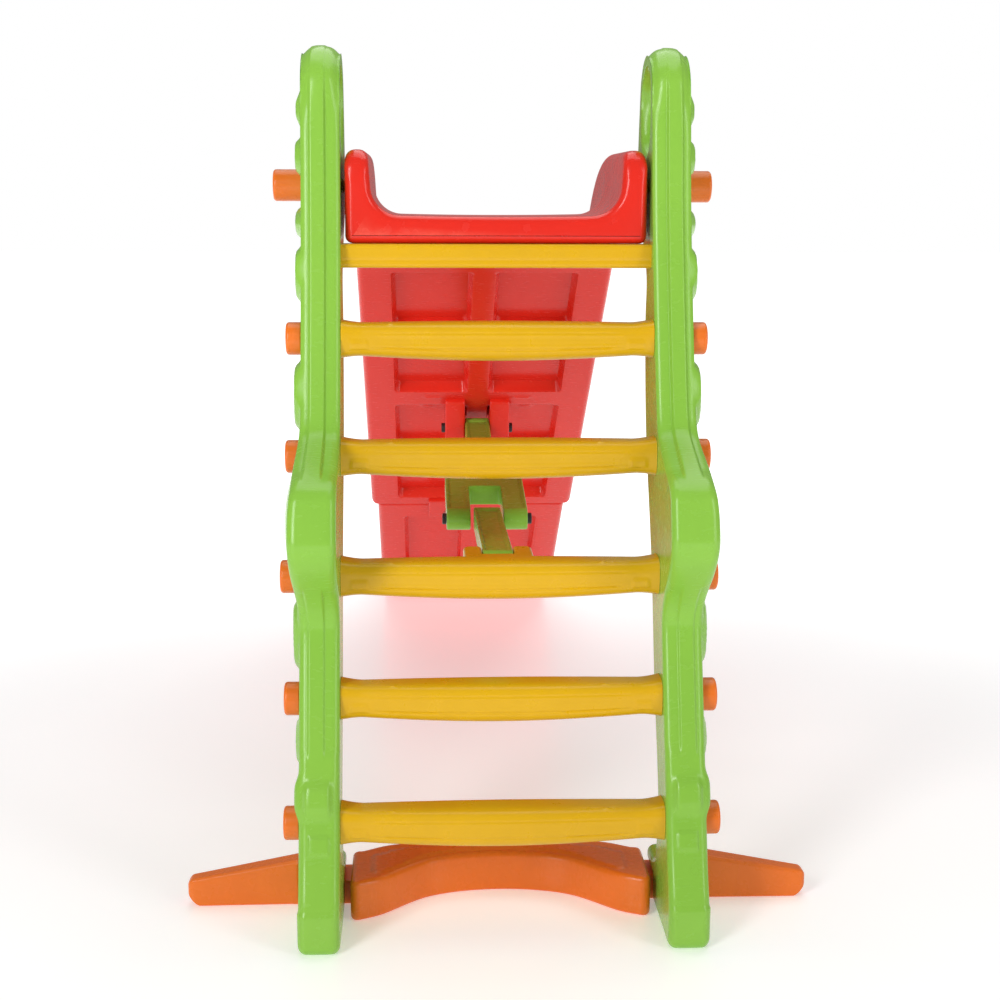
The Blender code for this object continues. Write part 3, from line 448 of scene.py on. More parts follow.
def trianglesIn(outlines, loops, spacing):
    # points on a triangular grid between the outlines, joined up with them; the first outline is the outer one
    low, high = outlines[0].min(0), outlines[0].max(0)
    rows, columns = np.arange(low[1], high[1], spacing * 0.87), np.arange(low[0], high[0], spacing)
    grid = np.stack(np.meshgrid(columns, rows), -1)
    grid[1::2, :, 0] += spacing / 2
    grid = grid.reshape(-1, 2)
    grid = grid[insideOf(outlines[0], grid)]
    for hole in outlines[1:]:
        grid = grid[~insideOf(hole, grid)]
    chains = [*outlines, *loops]
    for chain in chains:
        grid = grid[distanceTo(chain, grid) > spacing * 0.45]
    sizes = np.cumsum([0] + [len(c) for c in chains])
    joins = [(int(s + i), int(s + (i + 1) % len(c))) for s, c in zip(sizes, chains) for i in range(len(c))]
    made = delaunay_2d_cdt([Vector(q) for q in np.vstack([*chains, grid])], joins, [], 0, 1e-7)
    corners = np.array([tuple(q) for q in made[0]])
    kept = np.array([tuple(t) for t in made[2]])
    middle = corners[kept].mean(1)
    good = insideOf(outlines[0], middle)
    for hole in outlines[1:]:
        good &= ~insideOf(hole, middle)
    return corners, kept[good]


def plate(ring, profile, place, spacing=0.006, holes=(), loops=(), edgeShape=None, faceShape=None):
    # Every outline point carries the edge profile, and both faces are triangulated between the outlines.
    # edgeShape(uv, inset, w) gives a new inset, and faceShape(uv, edge, w) a new height.
    thickness = profile[-1, 1]
    points, faces, count, rims = [], [], 0, []
    outlines = [(ring, inwardNormals(ring), profile)] + [(h, -inwardNormals(h), p) for h, p in holes]
    for loop, normal, section in outlines:
        inset = np.repeat(section[:, :1], len(loop), 1)
        w = np.repeat(section[:, 1:], len(loop), 1)
        if edgeShape:
            inset = edgeShape(np.broadcast_to(loop, (len(section), len(loop), 2)), inset, w)
        uv = loop[None] + normal[None] * inset[..., None]
        if faceShape:
            w = faceShape(uv.reshape(-1, 2), inset.reshape(-1), w.reshape(-1)).reshape(w.shape)
        p, f = skin(place(uv, w), start=count, closeEnds=False)
        points.append(p)
        faces += f
        count += len(p)
        rims.append(uv[-1])
    corners, kept = trianglesIn(rims, loops, spacing)
    edge = np.min([distanceTo(loop, corners) for loop, normal, section in outlines], axis=0)
    for level in (0, thickness):
        w = np.full(len(corners), float(level))
        if faceShape:
            w = faceShape(corners, edge, w)
        points.append(place(corners, w))
        faces += (kept + count).tolist()
        count += len(corners)
    return np.concatenate([q.reshape(-1, 3) for q in points]), faces


# side frames
frameShape = {
    "thickness": 0.054, "rounding": 0.010, "holeRounding": 0.013, "frontLine": 0.046, "footFront": 0.032,
    "flange": 0.0046, "loopRadius": 0.075, "loopForward": 0.035, "rail": 0.036, "holeDrop": 0.030,
    "bellyDeep": 0.110, "bellyRise": 0.030, "bellySpan": (-0.172, -0.030, 0.018, 0.096),
    "bellyOut": 0.0095, "bellyMore": 0.0075, "bellyAt": 0.552, "bellyReach": (0.068, 0.078), "bellySoft": 2.4,
    "noseAt": 0.197, "noseEdge": 0.007, "noseFace": 0.006, "tabAt": 0.140, "tabRise": 0.0022,
    "block": (0.056, 0.060), "blockEdge": 0.0020, "blockFace": 0.0015, "step": 0.0034, "spacing": 0.0050,
    # heights between which the bead comes and goes, and where it starts and stops across the edge
    "beadUp": (0.612, 0.628), "beadRear": (1.02, 1.06), "beadTop": (1.08, 1.15), "beadTopLoss": 0.75,
    "beadFoot": (0.245, 0.262), "beadBelly": (0.455, 0.475), "beadLowShare": 0.55,
    "beadInner": (0.0185, 0.0225), "beadOuter": (0.0105, 0.0140), "crown": 0.0012, "topCrown": 0.013,
    "topSpan": (1.06, 1.15),
    "seatRings": (0.0240, 0.0275, 0.0312), "seatEdge": 0.0310, "bellySeat": 0.006, "bellyStep": 3,
    # raised ovals on the outer face: offset from the ladder line, height, two radii and the rise
    "ovals": [(-0.040, 1.090, 0.014, 0.030, 0.007), (-0.014, 1.026, 0.026, 0.030, 0.009),
              (0.020, 0.936, 0.060, 0.026, 0.009), (-0.004, 0.866, 0.036, 0.042, 0.008),
              (0.004, 0.703, 0.042, 0.052, 0.009), (0.000, 0.392, 0.036, 0.054, 0.0085),
              (0.000, 0.258, 0.034, 0.036, 0.005)],
    # the rear edge behind each step: step, offset from the ladder line and height above the step
    "rear": ((5, 0.078, 0.020), (4, 0.098, 0.020), (3, 0.064, 0), (2, 0.062, 0), (1, 0.050, 0)),
    # height of the rows of points across the edge
    "rows": [0.0125, 0.0150, 0.0175, *np.linspace(0.0185, 0.0225, 7), 0.0235, 0.0280, 0.0340, 0.0385,
             *np.linspace(0.0400, 0.0435, 6)],
    "holeRows": [0.018, 0.027, 0.036],
}
loopY = pivot[1] - frameShape["loopForward"]


def frameOutline():
    # the belly grows from nothing to its full depth, stays, and dies away again
    frontLine = frameShape["frontLine"]
    bellyZ = (stepPlace[3][1] + stepPlace[4][1]) / 2 + frameShape["bellyRise"]
    low, fullLow, fullHigh, high = frameShape["bellySpan"]
    offsets = [(-0.032, 0.060), (-frontLine, 0.120), (-frontLine, 0.250)]
    for rise in np.linspace(low, high, 25):
        share = smooth(low, fullLow, rise) * (1 - smooth(fullHigh, high, rise))
        offsets.append((-frontLine - frameShape["bellyDeep"] * share, bellyZ + rise))
    offsets.append((-frontLine, pivot[2] - 0.050))
    front = [(ladderY(z) + off, z) for off, z in offsets]
    footY = ladderY(0) - frameShape["footFront"]
    front[0] = (footY, 0.060)
    r = frameShape["loopRadius"]
    a = np.radians([180, 150, 120, 90, 60, 30, 0])
    top = [(loopY + r * math.cos(t), loopTop - r + r * math.sin(t)) for t in a]
    rear = [(pivot[1] + 0.052, pivot[2] + 0.030), (pivot[1] + 0.052, pivot[2] - 0.020),
            (pivot[1] - 0.030, pivot[2] - 0.090), (ladderY(barCentre[2]) + 0.040, barCentre[2] - 0.035)]
    rear += [(ladderY(stepPlace[k][1]) + off, stepPlace[k][1] + up) for k, off, up in frameShape["rear"]]
    rear += [(ladderY(0.062) + 0.092, 0.074)]
    curve = openSpline([(footY, 0.030)] + front + top + rear)
    foot = [(-0.052, 0.062, 0.010), (0.0, 0.062, 0.0115), (0.0, 0.0358, 0.0115), (-0.0615, 0.0358, 0.003),
            (-0.0615, 0.0, 0.0115), (footY, 0.0, 0.016)]
    return roundedPolygon([tuple(q) for q in curve] + foot, frameShape["step"])


def loopHole():
    half = frameShape["loopRadius"] - frameShape["rail"]
    topZ = loopTop - frameShape["rail"] - half
    a = np.linspace(0, math.pi, 24)
    upper = np.stack([loopY + half * np.cos(a), topZ + half * np.sin(a)], -1)
    lower = np.stack([loopY - half * np.cos(a), topZ - frameShape["holeDrop"] - half * np.sin(a)], -1)
    return evenly(np.vstack([upper, lower]), frameShape["step"])


def ovalMask(uv, oval, soft=0.011):
    # 1 inside the oval and 0 on its outline, with a smooth slope of width soft
    off, z, ry, rz = oval[:4]
    centre = np.array([ladderY(z) + off, z])
    reach = np.linalg.norm((uv - centre) / (ry, rz), axis=-1)
    return 1 - smooth(-soft, 0, (reach - 1) * min(ry, rz))


def noseAt(z, length):
    return np.exp(-((z - frameShape["noseAt"]) / length) ** 4)


def frameEdge(uv, inset, w):
    # a raised bead runs round the edge between two set-back flanges; it fades out over the belly, foot and top
    p = frameShape
    t = p["thickness"]
    y, z = uv[..., 0], uv[..., 1]
    isFront = y < ladderY(z) + 0.005
    above = smooth(*p["beadUp"], z) * np.where(isFront | (z > p["beadRear"][1]), 1, smooth(*p["beadRear"], z))
    above = above * (1 - p["beadTopLoss"] * smooth(*p["beadTop"], z))
    below = p["beadLowShare"] * smooth(*p["beadFoot"], z) * (1 - smooth(*p["beadBelly"], z)) * isFront
    bead = smooth(*p["beadInner"], w) * smooth(*p["beadOuter"], t - w)
    fade = 1 - np.clip(inset / (p["rounding"] + 0.0006), 0, 1)
    flange = p["flange"] * (1 - bead) * fade * (above + below)
    crown = (p["crown"] + p["topCrown"] * smooth(*p["topSpan"], z)) * np.abs((w - t / 2) / (t / 2)) ** 3 * fade
    fromFace = np.minimum(w, t - w)
    nose = p["noseEdge"] * noseAt(z, 0.021) * smooth(0.008, 0.016, fromFace) * isFront
    tab = p["tabRise"] * (1 - smooth(0.010, 0.013, np.abs(z - p["tabAt"])))
    tab = tab * smooth(0.012, 0.015, fromFace) * isFront
    block = p["blockEdge"] * (1 - smooth(*p["block"], z)) * isFront * fade
    return inset + flange + crown - nose - tab - block


def frameFace(uv, edge, w):
    # the outer side swells at the belly and carries the raised ovals; flat seats stay round the caps
    p = frameShape
    t = p["thickness"]
    y, z = uv[:, 0], uv[:, 1]
    back = y - ladderY(z)
    dz = z - p["bellyAt"]
    swell = np.exp(-np.abs(dz / np.where(dz > 0, *p["bellyReach"])) ** p["bellySoft"])
    swell = swell * (1 - smooth(-0.01, 0.085, back))
    rise = (p["bellyOut"] + p["bellyMore"] * smooth(-0.150, -0.060, back)) * swell
    nose = p["noseFace"] * noseAt(z, 0.024) * (1 - smooth(-0.036, -0.018, back))
    block = p["blockFace"] * (1 - smooth(*p["block"], z))
    relief = sum(ovalMask(uv, oval) * oval[4] for oval in p["ovals"]) * smooth(0.005, 0.011, edge)
    total = rise + nose + block + relief
    seats = [(stepPlace[k], p["bellySeat"] * (k == p["bellyStep"])) for k in stepNumbers]
    for centre, seat in seats + [(pivot[1:], 0.0)]:
        away = np.linalg.norm(uv - centre, axis=1)
        total = seat + (total - seat) * smooth(p["seatRings"][0], p["seatEdge"], away)
    return w + smooth(0.25 * t, t, w) * total


def buildFrame(word, side):
    def place(uv, w):
        return np.stack([side * (innerHalf + w), uv[..., 0], uv[..., 1]], -1)

    t = frameShape["thickness"]
    seats = [stepPlace[k] for k in stepNumbers] + [pivot[1:]]
    loops = [circle(seat, radius) for seat in seats for radius in frameShape["seatRings"]]
    hole = (loopHole(), edgeProfile(t, frameShape["holeRounding"], frameShape["holeRows"]))
    pieces = plate(frameOutline(), edgeProfile(t, frameShape["rounding"], frameShape["rows"]), place,
                   frameShape["spacing"], holes=[hole], loops=loops, edgeShape=frameEdge, faceShape=frameFace)
    finish(joined(f"{word}SideMoulding", [pieces], sharp=50), ladderBody, "green_plastic", f"{word}_side_frame")


for word, side in sides:
    buildFrame(word, side)
print("side frames made")


# steps, platform bar and caps
stepShape = {
    "halfDepth": 0.025, "halfHeight": 0.024, "flare": 0.0045, "flareLength": 0.030, "bulge": 0.010,
    "sag": 0.006,
    "grooves": [(0.40, 0.0010), (0.12, 0.0013), (-0.18, 0.0010), (-0.46, 0.0014)], "grooveHalf": 0.0017,
    "endGap": 0.0003, "topDip": 0.0025, "plaqueAt": 0.1905, "plaqueHalf": 0.0105, "plaqueRise": 0.0013,
    "nubAt": 0.1425, "nubShift": 0.005, "nubRise": 0.0016,
}


def buildStep(k):
    # x along the step, a round its section: a rounded rectangle that flares at its ends, bulges and sags
    p = stepShape
    half = innerHalf - p["endGap"]
    x = np.linspace(-half, half, 173)[:, None]
    a = np.linspace(0, 2 * math.pi, 132, endpoint=False)[None]
    c, s = np.cos(a), np.sin(a)
    flare = p["flare"] * np.clip(1 - (half - abs(x)) / p["flareLength"], 0, 1) ** 1.6
    middle = np.cos(math.pi * x / (2 * half))
    top = p["halfHeight"] + flare - p["topDip"] * (1 - middle)
    foot = top + p["sag"] * middle
    front = p["halfDepth"] + flare + p["bulge"] * middle
    rear = p["halfDepth"] + flare
    yy = np.sign(c) * np.abs(c) ** 0.55 * np.where(c > 0, rear, front)
    zz = np.sign(s) * np.abs(s) ** 0.62 * np.where(s > 0, top, foot)
    share = zz / np.where(zz > 0, top, foot)
    facing = smooth(0.55, 0.85, -yy / front)
    along = 1 - smooth(0.150, 0.185, abs(x))
    for at, depth in p["grooves"]:
        gap = np.abs(share - at) * p["halfHeight"]
        yy = yy + depth * along * facing * np.clip(1 - gap / p["grooveHalf"], 0, 1)
    across, upward = np.abs(np.abs(x) - p["plaqueAt"]) - p["plaqueHalf"], np.abs(share + 0.33) * 0.024 - 0.0045
    yy = yy - p["plaqueRise"] * (1 - smooth(0.0, 0.0016, np.maximum(across, upward))) * facing
    nub = np.exp(-((np.abs(x + p["nubShift"]) - p["nubAt"]) / 0.0028) ** 2)
    nub = nub * np.exp(-((a - 2.05) / 0.10) ** 2)
    zz = zz + p["nubRise"] * nub
    grid = np.stack([np.broadcast_to(x, yy.shape), stepPlace[k][0] + yy, stepPlace[k][1] + zz], -1)
    pieces = [skin(grid)] + ([buildBracket()] if k == bracketShape["step"] else [])
    finish(joined(f"moulded_step_{k}", pieces, sharp=60), ladderBody, "yellow_plastic", f"step_{k}")


bracketShape = {"step": 3, "half": 0.048, "slotHalf": 0.0221, "reach": 0.087, "height": 0.042, "knuckle": 0.018,
                "slotGap": 0.004, "rounding": 0.0045}


def buildBracket():
    # a block behind the step with a slot for the strut's eye, seen from above as an outline
    b = bracketShape
    y = stepPlace[b["step"]][0]
    top = frontPivot[2] + b["knuckle"]
    slotFront = frontPivot[1] - b["knuckle"] - b["slotGap"]
    right = [(b["half"], y, 0.001), (b["half"], y + b["reach"], 0.010), (b["slotHalf"], y + b["reach"], 0.006),
             (b["slotHalf"], slotFront, 0.001)]
    left = [(-u, v, radius) for u, v, radius in reversed(right)]
    ring = roundedPolygon(left[-1:] + right + left[:-1], 0.0028)

    def place(uv, w):
        return np.stack([uv[..., 0], uv[..., 1], top - b["height"] + w], -1)

    return plate(ring, edgeProfile(b["height"], b["rounding"], [b["height"] / 2]), place, 0.007)


for k in stepNumbers:
    buildStep(k)

barShape = {"rounding": 0.0045, "grooveDepth": 0.0006, "grooveAt": -0.006, "grooveHalf": 0.0022}


def buildBar():
    # a square bar with rounded corners and a shallow groove along its front
    p, half = barShape, barSize / 2
    corners = [(u * half, v * half, p["rounding"]) for u, v in ((-1, -1), (1, -1), (1, 1), (-1, 1))]
    ring = roundedPolygon(corners, 0.0012)
    x = np.linspace(barLow[0], barHigh[0], 60)[:, None]
    groove = np.exp(-((ring[:, 1] - p["grooveAt"]) / p["grooveHalf"]) ** 2)
    dip = p["grooveDepth"] * (ring[:, 0] < -barSize * 0.45) * groove
    across = [x, barCentre[1] + ring[:, 0] + dip, barCentre[2] + ring[:, 1]]
    grid = np.stack([np.broadcast_to(part, (60, len(ring))) for part in across], -1)
    finish(joined("mouldedBar", [skin(grid)]), ladderBody, "yellow_plastic", "platform_bar")


buildBar()
capShape = {"edge": 0.0042, "dish": 0.0007, "rim": 0.0008, "bevel": 0.0015}


def buildCap(name, body, node, side):
    # a profile spun about X, with rounded rims and a shallow dish in its outer end
    low, high = boxOf(node)
    start, end = sorted((abs(low[0]), abs(high[0])))
    radius, edge, dish = (high - low)[2] / 2, capShape["edge"], end - capShape["dish"]
    a = np.linspace(0, math.pi / 2, 7)
    foot = [(start, 0.0001), (start, radius - capShape["bevel"]), (start + capShape["bevel"], radius)]
    rim = [(end - edge + edge * math.sin(t), radius - edge + edge * math.cos(t)) for t in a]
    face = [(end, radius - edge - capShape["rim"]), (dish, radius - edge - 2 * capShape["rim"]), (dish, 0.0001)]
    grid = turned((low + high) / 2 * (0, 1, 1), side, foot + rim + face, 64)
    finish(joined(name, [skin(grid)]), body, "orange_plastic", node)


for k in stepNumbers:
    for word, side in sides:
        buildCap(f"step_{k}_{word}_button", ladderBody, f"step_{k}_{word}_cap", side)
for word, side in sides:
    buildCap(f"{word}PivotButton", ladderBody, f"{word}_pivot_cap", side)
print("steps, bar and caps made")


# chute
chuteShape = {
    "slope": 36.1, "mouth": 0.226, "mouthOverlap": 0.008, "crest": 0.36, "runout": 0.50, "exit": 0.08,
    "upper": 0.877,
    "wall": 0.090, "wallThick": 0.033, "wallTop": 0.014, "fillet": 0.042, "thick": 0.038, "corner": 0.010,
    "mouthRound": 0.035, "exitWall": 0.030, "exitTaper": 0.22, "sideGap": 0.0055, "lowerInset": 0.0125,
    "planCorner": 0.016, "bedCrown": 0.0015, "jointGap": 0.0003, "rowStep": 0.0042,
    "pocketDepth": 0.020, "pocketInner": 0.019, "pocketBorder": 0.055, "pocketCorner": 0.012, "rib": 0.050,
    "lugAlong": 0.482, "ledgeHalf": 0.090,
    # the ledge's side view: distance past the joint and height above the bed
    "ledge": ((-0.030, -0.0463), (0.045, -0.0463), (0.045, -0.0383), (-0.001, -0.0383), (-0.001, -0.030),
              (-0.030, -0.030)),
    # shallow marks beside the lugs: distance from the lug and from the middle, two half sizes and the depth
    "marks": ((-0.004, 0.092, 0.006, 0.011, -0.0035), (-0.072, 0.082, 0.003, 0.016, -0.0030)),
}
mouthY = barCentre[1] - barSize / 2 + chuteShape["mouthOverlap"]
bedZ = barHigh[2] + chuteShape["jointGap"] + chuteShape["thick"]
upperHalf = innerHalf - chuteShape["sideGap"]
lowerHalf = upperHalf - chuteShape["lowerInset"]
slopeAngle = math.radians(chuteShape["slope"])
arcDrop = (chuteShape["crest"] + chuteShape["runout"]) * (1 - math.cos(slopeAngle))
straight = (bedZ - chuteShape["thick"] - arcDrop) / math.sin(slopeAngle)
slopeStart = chuteShape["mouth"] + chuteShape["crest"] * slopeAngle
split = slopeStart + chuteShape["upper"]
slopeEnd = slopeStart + straight
chuteLength = slopeEnd + chuteShape["runout"] * slopeAngle + chuteShape["exit"]
lugS = slopeStart + chuteShape["lugAlong"]


def bedLine(s):
    # distance along the bed to y, z and slope: a flat, an arc down, a straight, an arc up and a flat
    c, r, mouth = chuteShape["crest"], chuteShape["runout"], chuteShape["mouth"]
    s = np.asarray(s, float)
    slope = np.clip((s - mouth) / c, 0, slopeAngle)
    onCrest = np.clip(s, mouth, slopeStart)
    onStraight = np.clip(s, slopeStart, slopeEnd) - slopeStart
    turnedUp = np.clip((s - slopeEnd) / r, 0, slopeAngle)
    flatEnd = np.clip(s - (chuteLength - chuteShape["exit"]), 0, None)
    y = mouthY + np.minimum(s, mouth) + c * np.sin((onCrest - mouth) / c)
    z = bedZ - c * (1 - np.cos((onCrest - mouth) / c))
    cosine, sine = math.cos(slopeAngle), math.sin(slopeAngle)
    y = y + onStraight * cosine + r * (sine - np.sin(slopeAngle - turnedUp)) + flatEnd
    z = z - onStraight * sine - r * (np.cos(slopeAngle - turnedUp) - cosine)
    return y, z, slope - turnedUp


def onBed(s, x, above):
    y, z, slope = bedLine(s)
    return np.stack([x, y + above * np.sin(slope), z + above * np.cos(slope)], -1)


def bedFrame(s):
    # a point of the bed's middle line with the directions along the bed and square to it, as (y, z)
    y, z, slope = (float(q) for q in bedLine(s))
    along, up = (math.cos(slope), -math.sin(slope)), (math.sin(slope), math.cos(slope))
    return np.array([y, z]), np.array(along), np.array(up)


def chuteWall(s):
    # wall height: a quarter circle at the mouth, level, and a quarter sine down to the exit
    p = chuteShape
    d = np.clip(s / p["mouthRound"], 0, 1)
    height = p["wall"] - p["mouthRound"] * (1 - np.sqrt(1 - (1 - d) ** 2))
    left = np.clip((chuteLength - s) / p["exitTaper"], 0, 1)
    return np.where(left < 1, p["exitWall"] + (height - p["exitWall"]) * np.sin(math.pi / 2 * left), height)


def chuteSection(s, half):
    # right half of the section from the middle of the underside round to the middle of the bed, then mirrored
    p = chuteShape
    thick, corner, wallTop = p["thick"], p["corner"], p["wallTop"]
    height = chuteWall(s)[:, None]
    fillet = np.minimum(p["fillet"], height - wallTop - 0.001)
    inner = half - p["wallThick"] - 0.002
    one = np.ones_like(height)
    under = np.linspace(0, half - corner, 54)[None, :-1]
    parts = [(under * one, -thick * one + 0 * under)]

    def arc(cx, cn, r, start, end, count):
        a = np.radians(np.linspace(start, end, count))[None]
        parts.append((cx + r * np.cos(a) + 0 * one, cn + r * np.sin(a) + 0 * one))

    arc(half - corner, -thick + corner, corner, -90, 0, 6)
    rise = np.linspace(0, 1, 8)[None, 1:-1]
    low, high = -thick + corner, height - wallTop
    parts.append((half + 0 * rise * one, low + (high - low) * rise))
    arc(half - wallTop, height - wallTop, wallTop, 0, 90, 7)
    arc(half - p["wallThick"] + wallTop, height - wallTop, wallTop, 90, 172, 8)
    arc(inner - fillet, fillet, fillet, -8, -90, 12)
    bed = np.linspace(1, 0, 22)[None, 1:]
    parts.append((bed * (inner - fillet), -p["bedCrown"] * (1 - bed ** 2) * one))
    xs, ns = (np.concatenate([q[i] for q in parts], 1) for i in (0, 1))
    return np.concatenate([xs, -xs[:, -2:0:-1]], 1), np.concatenate([ns, ns[:, -2:0:-1]], 1)


def pocketDepth(s, x, rows, half):
    # sunk panels with rounded corners and sloping sides
    p = chuteShape
    xMiddle = (p["pocketInner"] + half - p["pocketBorder"]) / 2
    xHalf = (half - p["pocketBorder"] - p["pocketInner"]) / 2
    r = p["pocketCorner"]
    depth = np.zeros(np.broadcast(s, x).shape)
    for low, high in rows:
        dx = np.abs(np.abs(x) - xMiddle) - xHalf + r
        ds = np.abs(s - (low + high) / 2) - (high - low) / 2 + r
        away = np.hypot(np.maximum(dx, 0), np.maximum(ds, 0)) + np.minimum(np.maximum(dx, ds), 0) - r
        depth = np.maximum(depth, 1 - smooth(-0.0065, 0.0005, away))
    return depth * p["pocketDepth"]


def buildChute(start, end, half, pockets, endRound, marks=()):
    # sections along the bed; the end sections draw in by a quarter circle, so that both lips are rounded
    r1, r2 = endRound
    a = np.linspace(0, math.pi / 2, 7)
    rowStep, corner = chuteShape["rowStep"], chuteShape["planCorner"]
    rows = np.arange(start + r1 + rowStep, end - r2, rowStep)
    s = np.concatenate([start + r1 * (1 - np.cos(a)), rows, end - r2 * (1 - np.sin(a))])
    d1, d2 = np.clip(s - start, 0, r1), np.clip(end - s, 0, r2)
    draw = (r1 - np.sqrt(r1 ** 2 - (r1 - d1) ** 2)) + (r2 - np.sqrt(r2 ** 2 - (r2 - d2) ** 2))
    x, n = chuteSection(s, half)
    tx = np.roll(x, -1, 1) - np.roll(x, 1, 1)
    tn = np.roll(n, -1, 1) - np.roll(n, 1, 1)
    size = np.hypot(tx, tn) + 1e-9
    under = (np.abs(n + chuteShape["thick"]) < 1e-6) * (np.abs(x) < half - chuteShape["corner"] + 1e-6)
    sGrid = np.repeat(s[:, None], x.shape[1], 1)
    n = n + under * pocketDepth(sGrid, x, pockets, half)
    for ahead, mx, rs, rx, depth in marks:
        mark = np.exp(-((sGrid - (lugS + ahead)) / rs) ** 4 - ((np.abs(x) - mx) / rx) ** 4)
        n = n + under * depth * np.clip(1.4 * mark, 0, 1)
    x = x - draw[:, None] * tn / size
    n = n + draw[:, None] * tx / size
    # the plan corners of the far end are rounded too
    cut = np.clip(np.abs(x) - (half - corner), 0, corner)
    back = (corner - np.sqrt(corner ** 2 - cut ** 2)) * smooth(end - 0.05, end, sGrid)
    return skin(onBed(sGrid - back, x, n))


def acrossPlate(ring, x0, x1, radius, spacing=0.006):
    # a side-view outline (y, z) given thickness along X, with rounded edges
    def place(uv, w):
        return np.stack([x0 + w, uv[..., 0], uv[..., 1]], -1)

    return plate(ring, edgeProfile(x1 - x0, radius, [(x1 - x0) / 2]), place, spacing)


lugShape = {"ahead": 0.024, "behind": 0.062, "drop": 0.046, "eye": 0.025, "neck": 0.0245, "inner": 0.0231,
            "outer": 0.0601, "rounding": 0.0035}


def lugPieces():
    # two ears: a round eye that runs up into the underside
    p = lugShape
    base, along, up = bedFrame(lugS)
    eye = np.array([lugPivot[1], lugPivot[2]])
    root = -chuteShape["thick"] + chuteShape["pocketDepth"] + 0.002
    corners = [base + along * p["ahead"] + up * root, base - along * p["behind"] + up * root,
               base - along * p["behind"] - up * p["drop"], eye - along * 0.004 - up * p["neck"]]
    a = np.arctan2(*(-up)[::-1]) + np.radians(np.linspace(-8, 100, 20))
    ring = evenly(np.vstack([corners, eye + p["eye"] * np.stack([np.cos(a), np.sin(a)], -1)]), 0.0028)
    ends = [sorted((side * p["inner"], side * p["outer"])) for word, side in sides]
    return [acrossPlate(ring, *pair, p["rounding"]) for pair in ends]


def ledgePiece():
    # a flat strip under the joint that carries the lower section
    base, along, up = bedFrame(split)
    ring = [(*(base + along * ahead + up * above), 0.0015) for ahead, above in chuteShape["ledge"]]
    half = chuteShape["ledgeHalf"]
    return acrossPlate(roundedPolygon(ring, 0.0022), -half, half, 0.002)


pitch = (split - 0.035 - slopeStart + 0.005 + chuteShape["rib"]) / 4
firstRow = slopeStart - 0.005
upperRows = [(firstRow + i * pitch, firstRow + (i + 1) * pitch - chuteShape["rib"]) for i in range(4)]
lowerRows = [(split + 0.060, slopeEnd - 0.010)]
upper = buildChute(0, split, upperHalf, upperRows, (0.011, 0.005), chuteShape["marks"])
lower = buildChute(split + chuteShape["jointGap"], chuteLength, lowerHalf, lowerRows, (0.004, 0.010))
for name, pieces, node in (("upperChute", [upper, ledgePiece()] + lugPieces(), "upper_slide"),
                           ("lowerChute", [lower], "lower_slide")):
    finish(joined(name, pieces, sharp=50), chuteBody, "red_plastic", node)
print("chute made")


# brace between ladder and chute
braceShape = {"height": 0.034, "knuckle": 0.018, "armHalf": 0.0225, "webHalf": 0.034, "forkHalf": 0.0655,
              "prong": 0.039, "shank": 0.110, "fork": 0.170, "forkWeb": 0.060, "strutHalf": 0.0215,
              "rim": 0.0030, "rimWidth": 0.0062, "edge": 0.0022, "gap": 0.0003}
knee = sum(boxOf("left_knee_bolt")) / 2 * (0, 1, 1)


def braceBar(start, end, plan, rimLoop=False):
    # a bar with raised rims along both faces, laid from start to end
    height, rim, rimWidth = braceShape["height"], braceShape["rim"], braceShape["rimWidth"]
    run = end - start
    length = np.linalg.norm(run)
    ahead, lift = run / length, np.array([0, -run[2], run[1]]) / length

    def place(uv, w):
        w = (w - height / 2)[..., None]
        return start + uv[..., :1] * np.array([1.0, 0, 0]) + uv[..., 1:] * ahead + w * lift

    def sunk(uv, edge, w):
        return w - rim * smooth(rimWidth - 0.002, rimWidth, edge) * np.sign(w - height / 2)

    ring = roundedPolygon(plan(length), 0.0026)
    loops = [ring + inwardNormals(ring) * rimWidth] if rimLoop else []
    section = edgeProfile(height, braceShape["edge"], [height / 2], 4)
    return plate(ring, section, place, 0.0032, faceShape=sunk, loops=loops)


def armPlan(length):
    b = braceShape
    root, web = length - b["fork"], length - b["fork"] + b["forkWeb"]
    inner = b["forkHalf"] - b["prong"]
    right = [(b["armHalf"], 0, 0.004), (b["armHalf"], b["shank"], 0.02), (b["webHalf"], root - 0.060, 0.02),
             (b["forkHalf"], root, 0.012), (b["forkHalf"], length, 0.004), (inner, length, 0.004),
             (inner, web, 0.005)]
    return right + [(-x, y, r) for x, y, r in reversed(right)]


def strutPlan(length):
    h = braceShape["strutHalf"]
    return [(-h, 0, 0.003), (h, 0, 0.003), (h, length, 0.003), (-h, length, 0.003)]


def knuckle(centre, x0, x1):
    # a disc with rounded rims between x0 and x1
    a = np.linspace(0, math.pi / 2, 5)
    e, radius = braceShape["edge"], braceShape["knuckle"]
    foot = [(x0, 0.0001)] + [(x0 + e - e * math.cos(t), radius - e + e * math.sin(t)) for t in a]
    rim = [(x1 - e + e * math.sin(t), radius - e + e * math.cos(t)) for t in a] + [(x1, 0.0001)]
    return skin(turned(centre, 1, foot + rim, 48))


def buildBrace():
    b, gap = braceShape, braceShape["gap"]
    inner, outer = b["forkHalf"] - b["prong"] + gap, b["forkHalf"] - gap
    prongs = [sorted((side * inner, side * outer)) for word, side in sides]
    arm = [braceBar(lugPivot, knee, armPlan), knuckle(lugPivot, -b["armHalf"] + gap, b["armHalf"] - gap)]
    arm += [knuckle(knee, *ends) for ends in prongs]
    strut = [braceBar(frontPivot, knee, strutPlan, rimLoop=True)]
    strut += [knuckle(eye, -b["strutHalf"] + gap, b["strutHalf"] - gap) for eye in (frontPivot, knee)]
    finish(joined("forkArm", arm, sharp=50), armBody, "green_plastic", "rear_arm")
    finish(joined("frontStrut", strut, sharp=50), strutBody, "green_plastic", "front_strut")


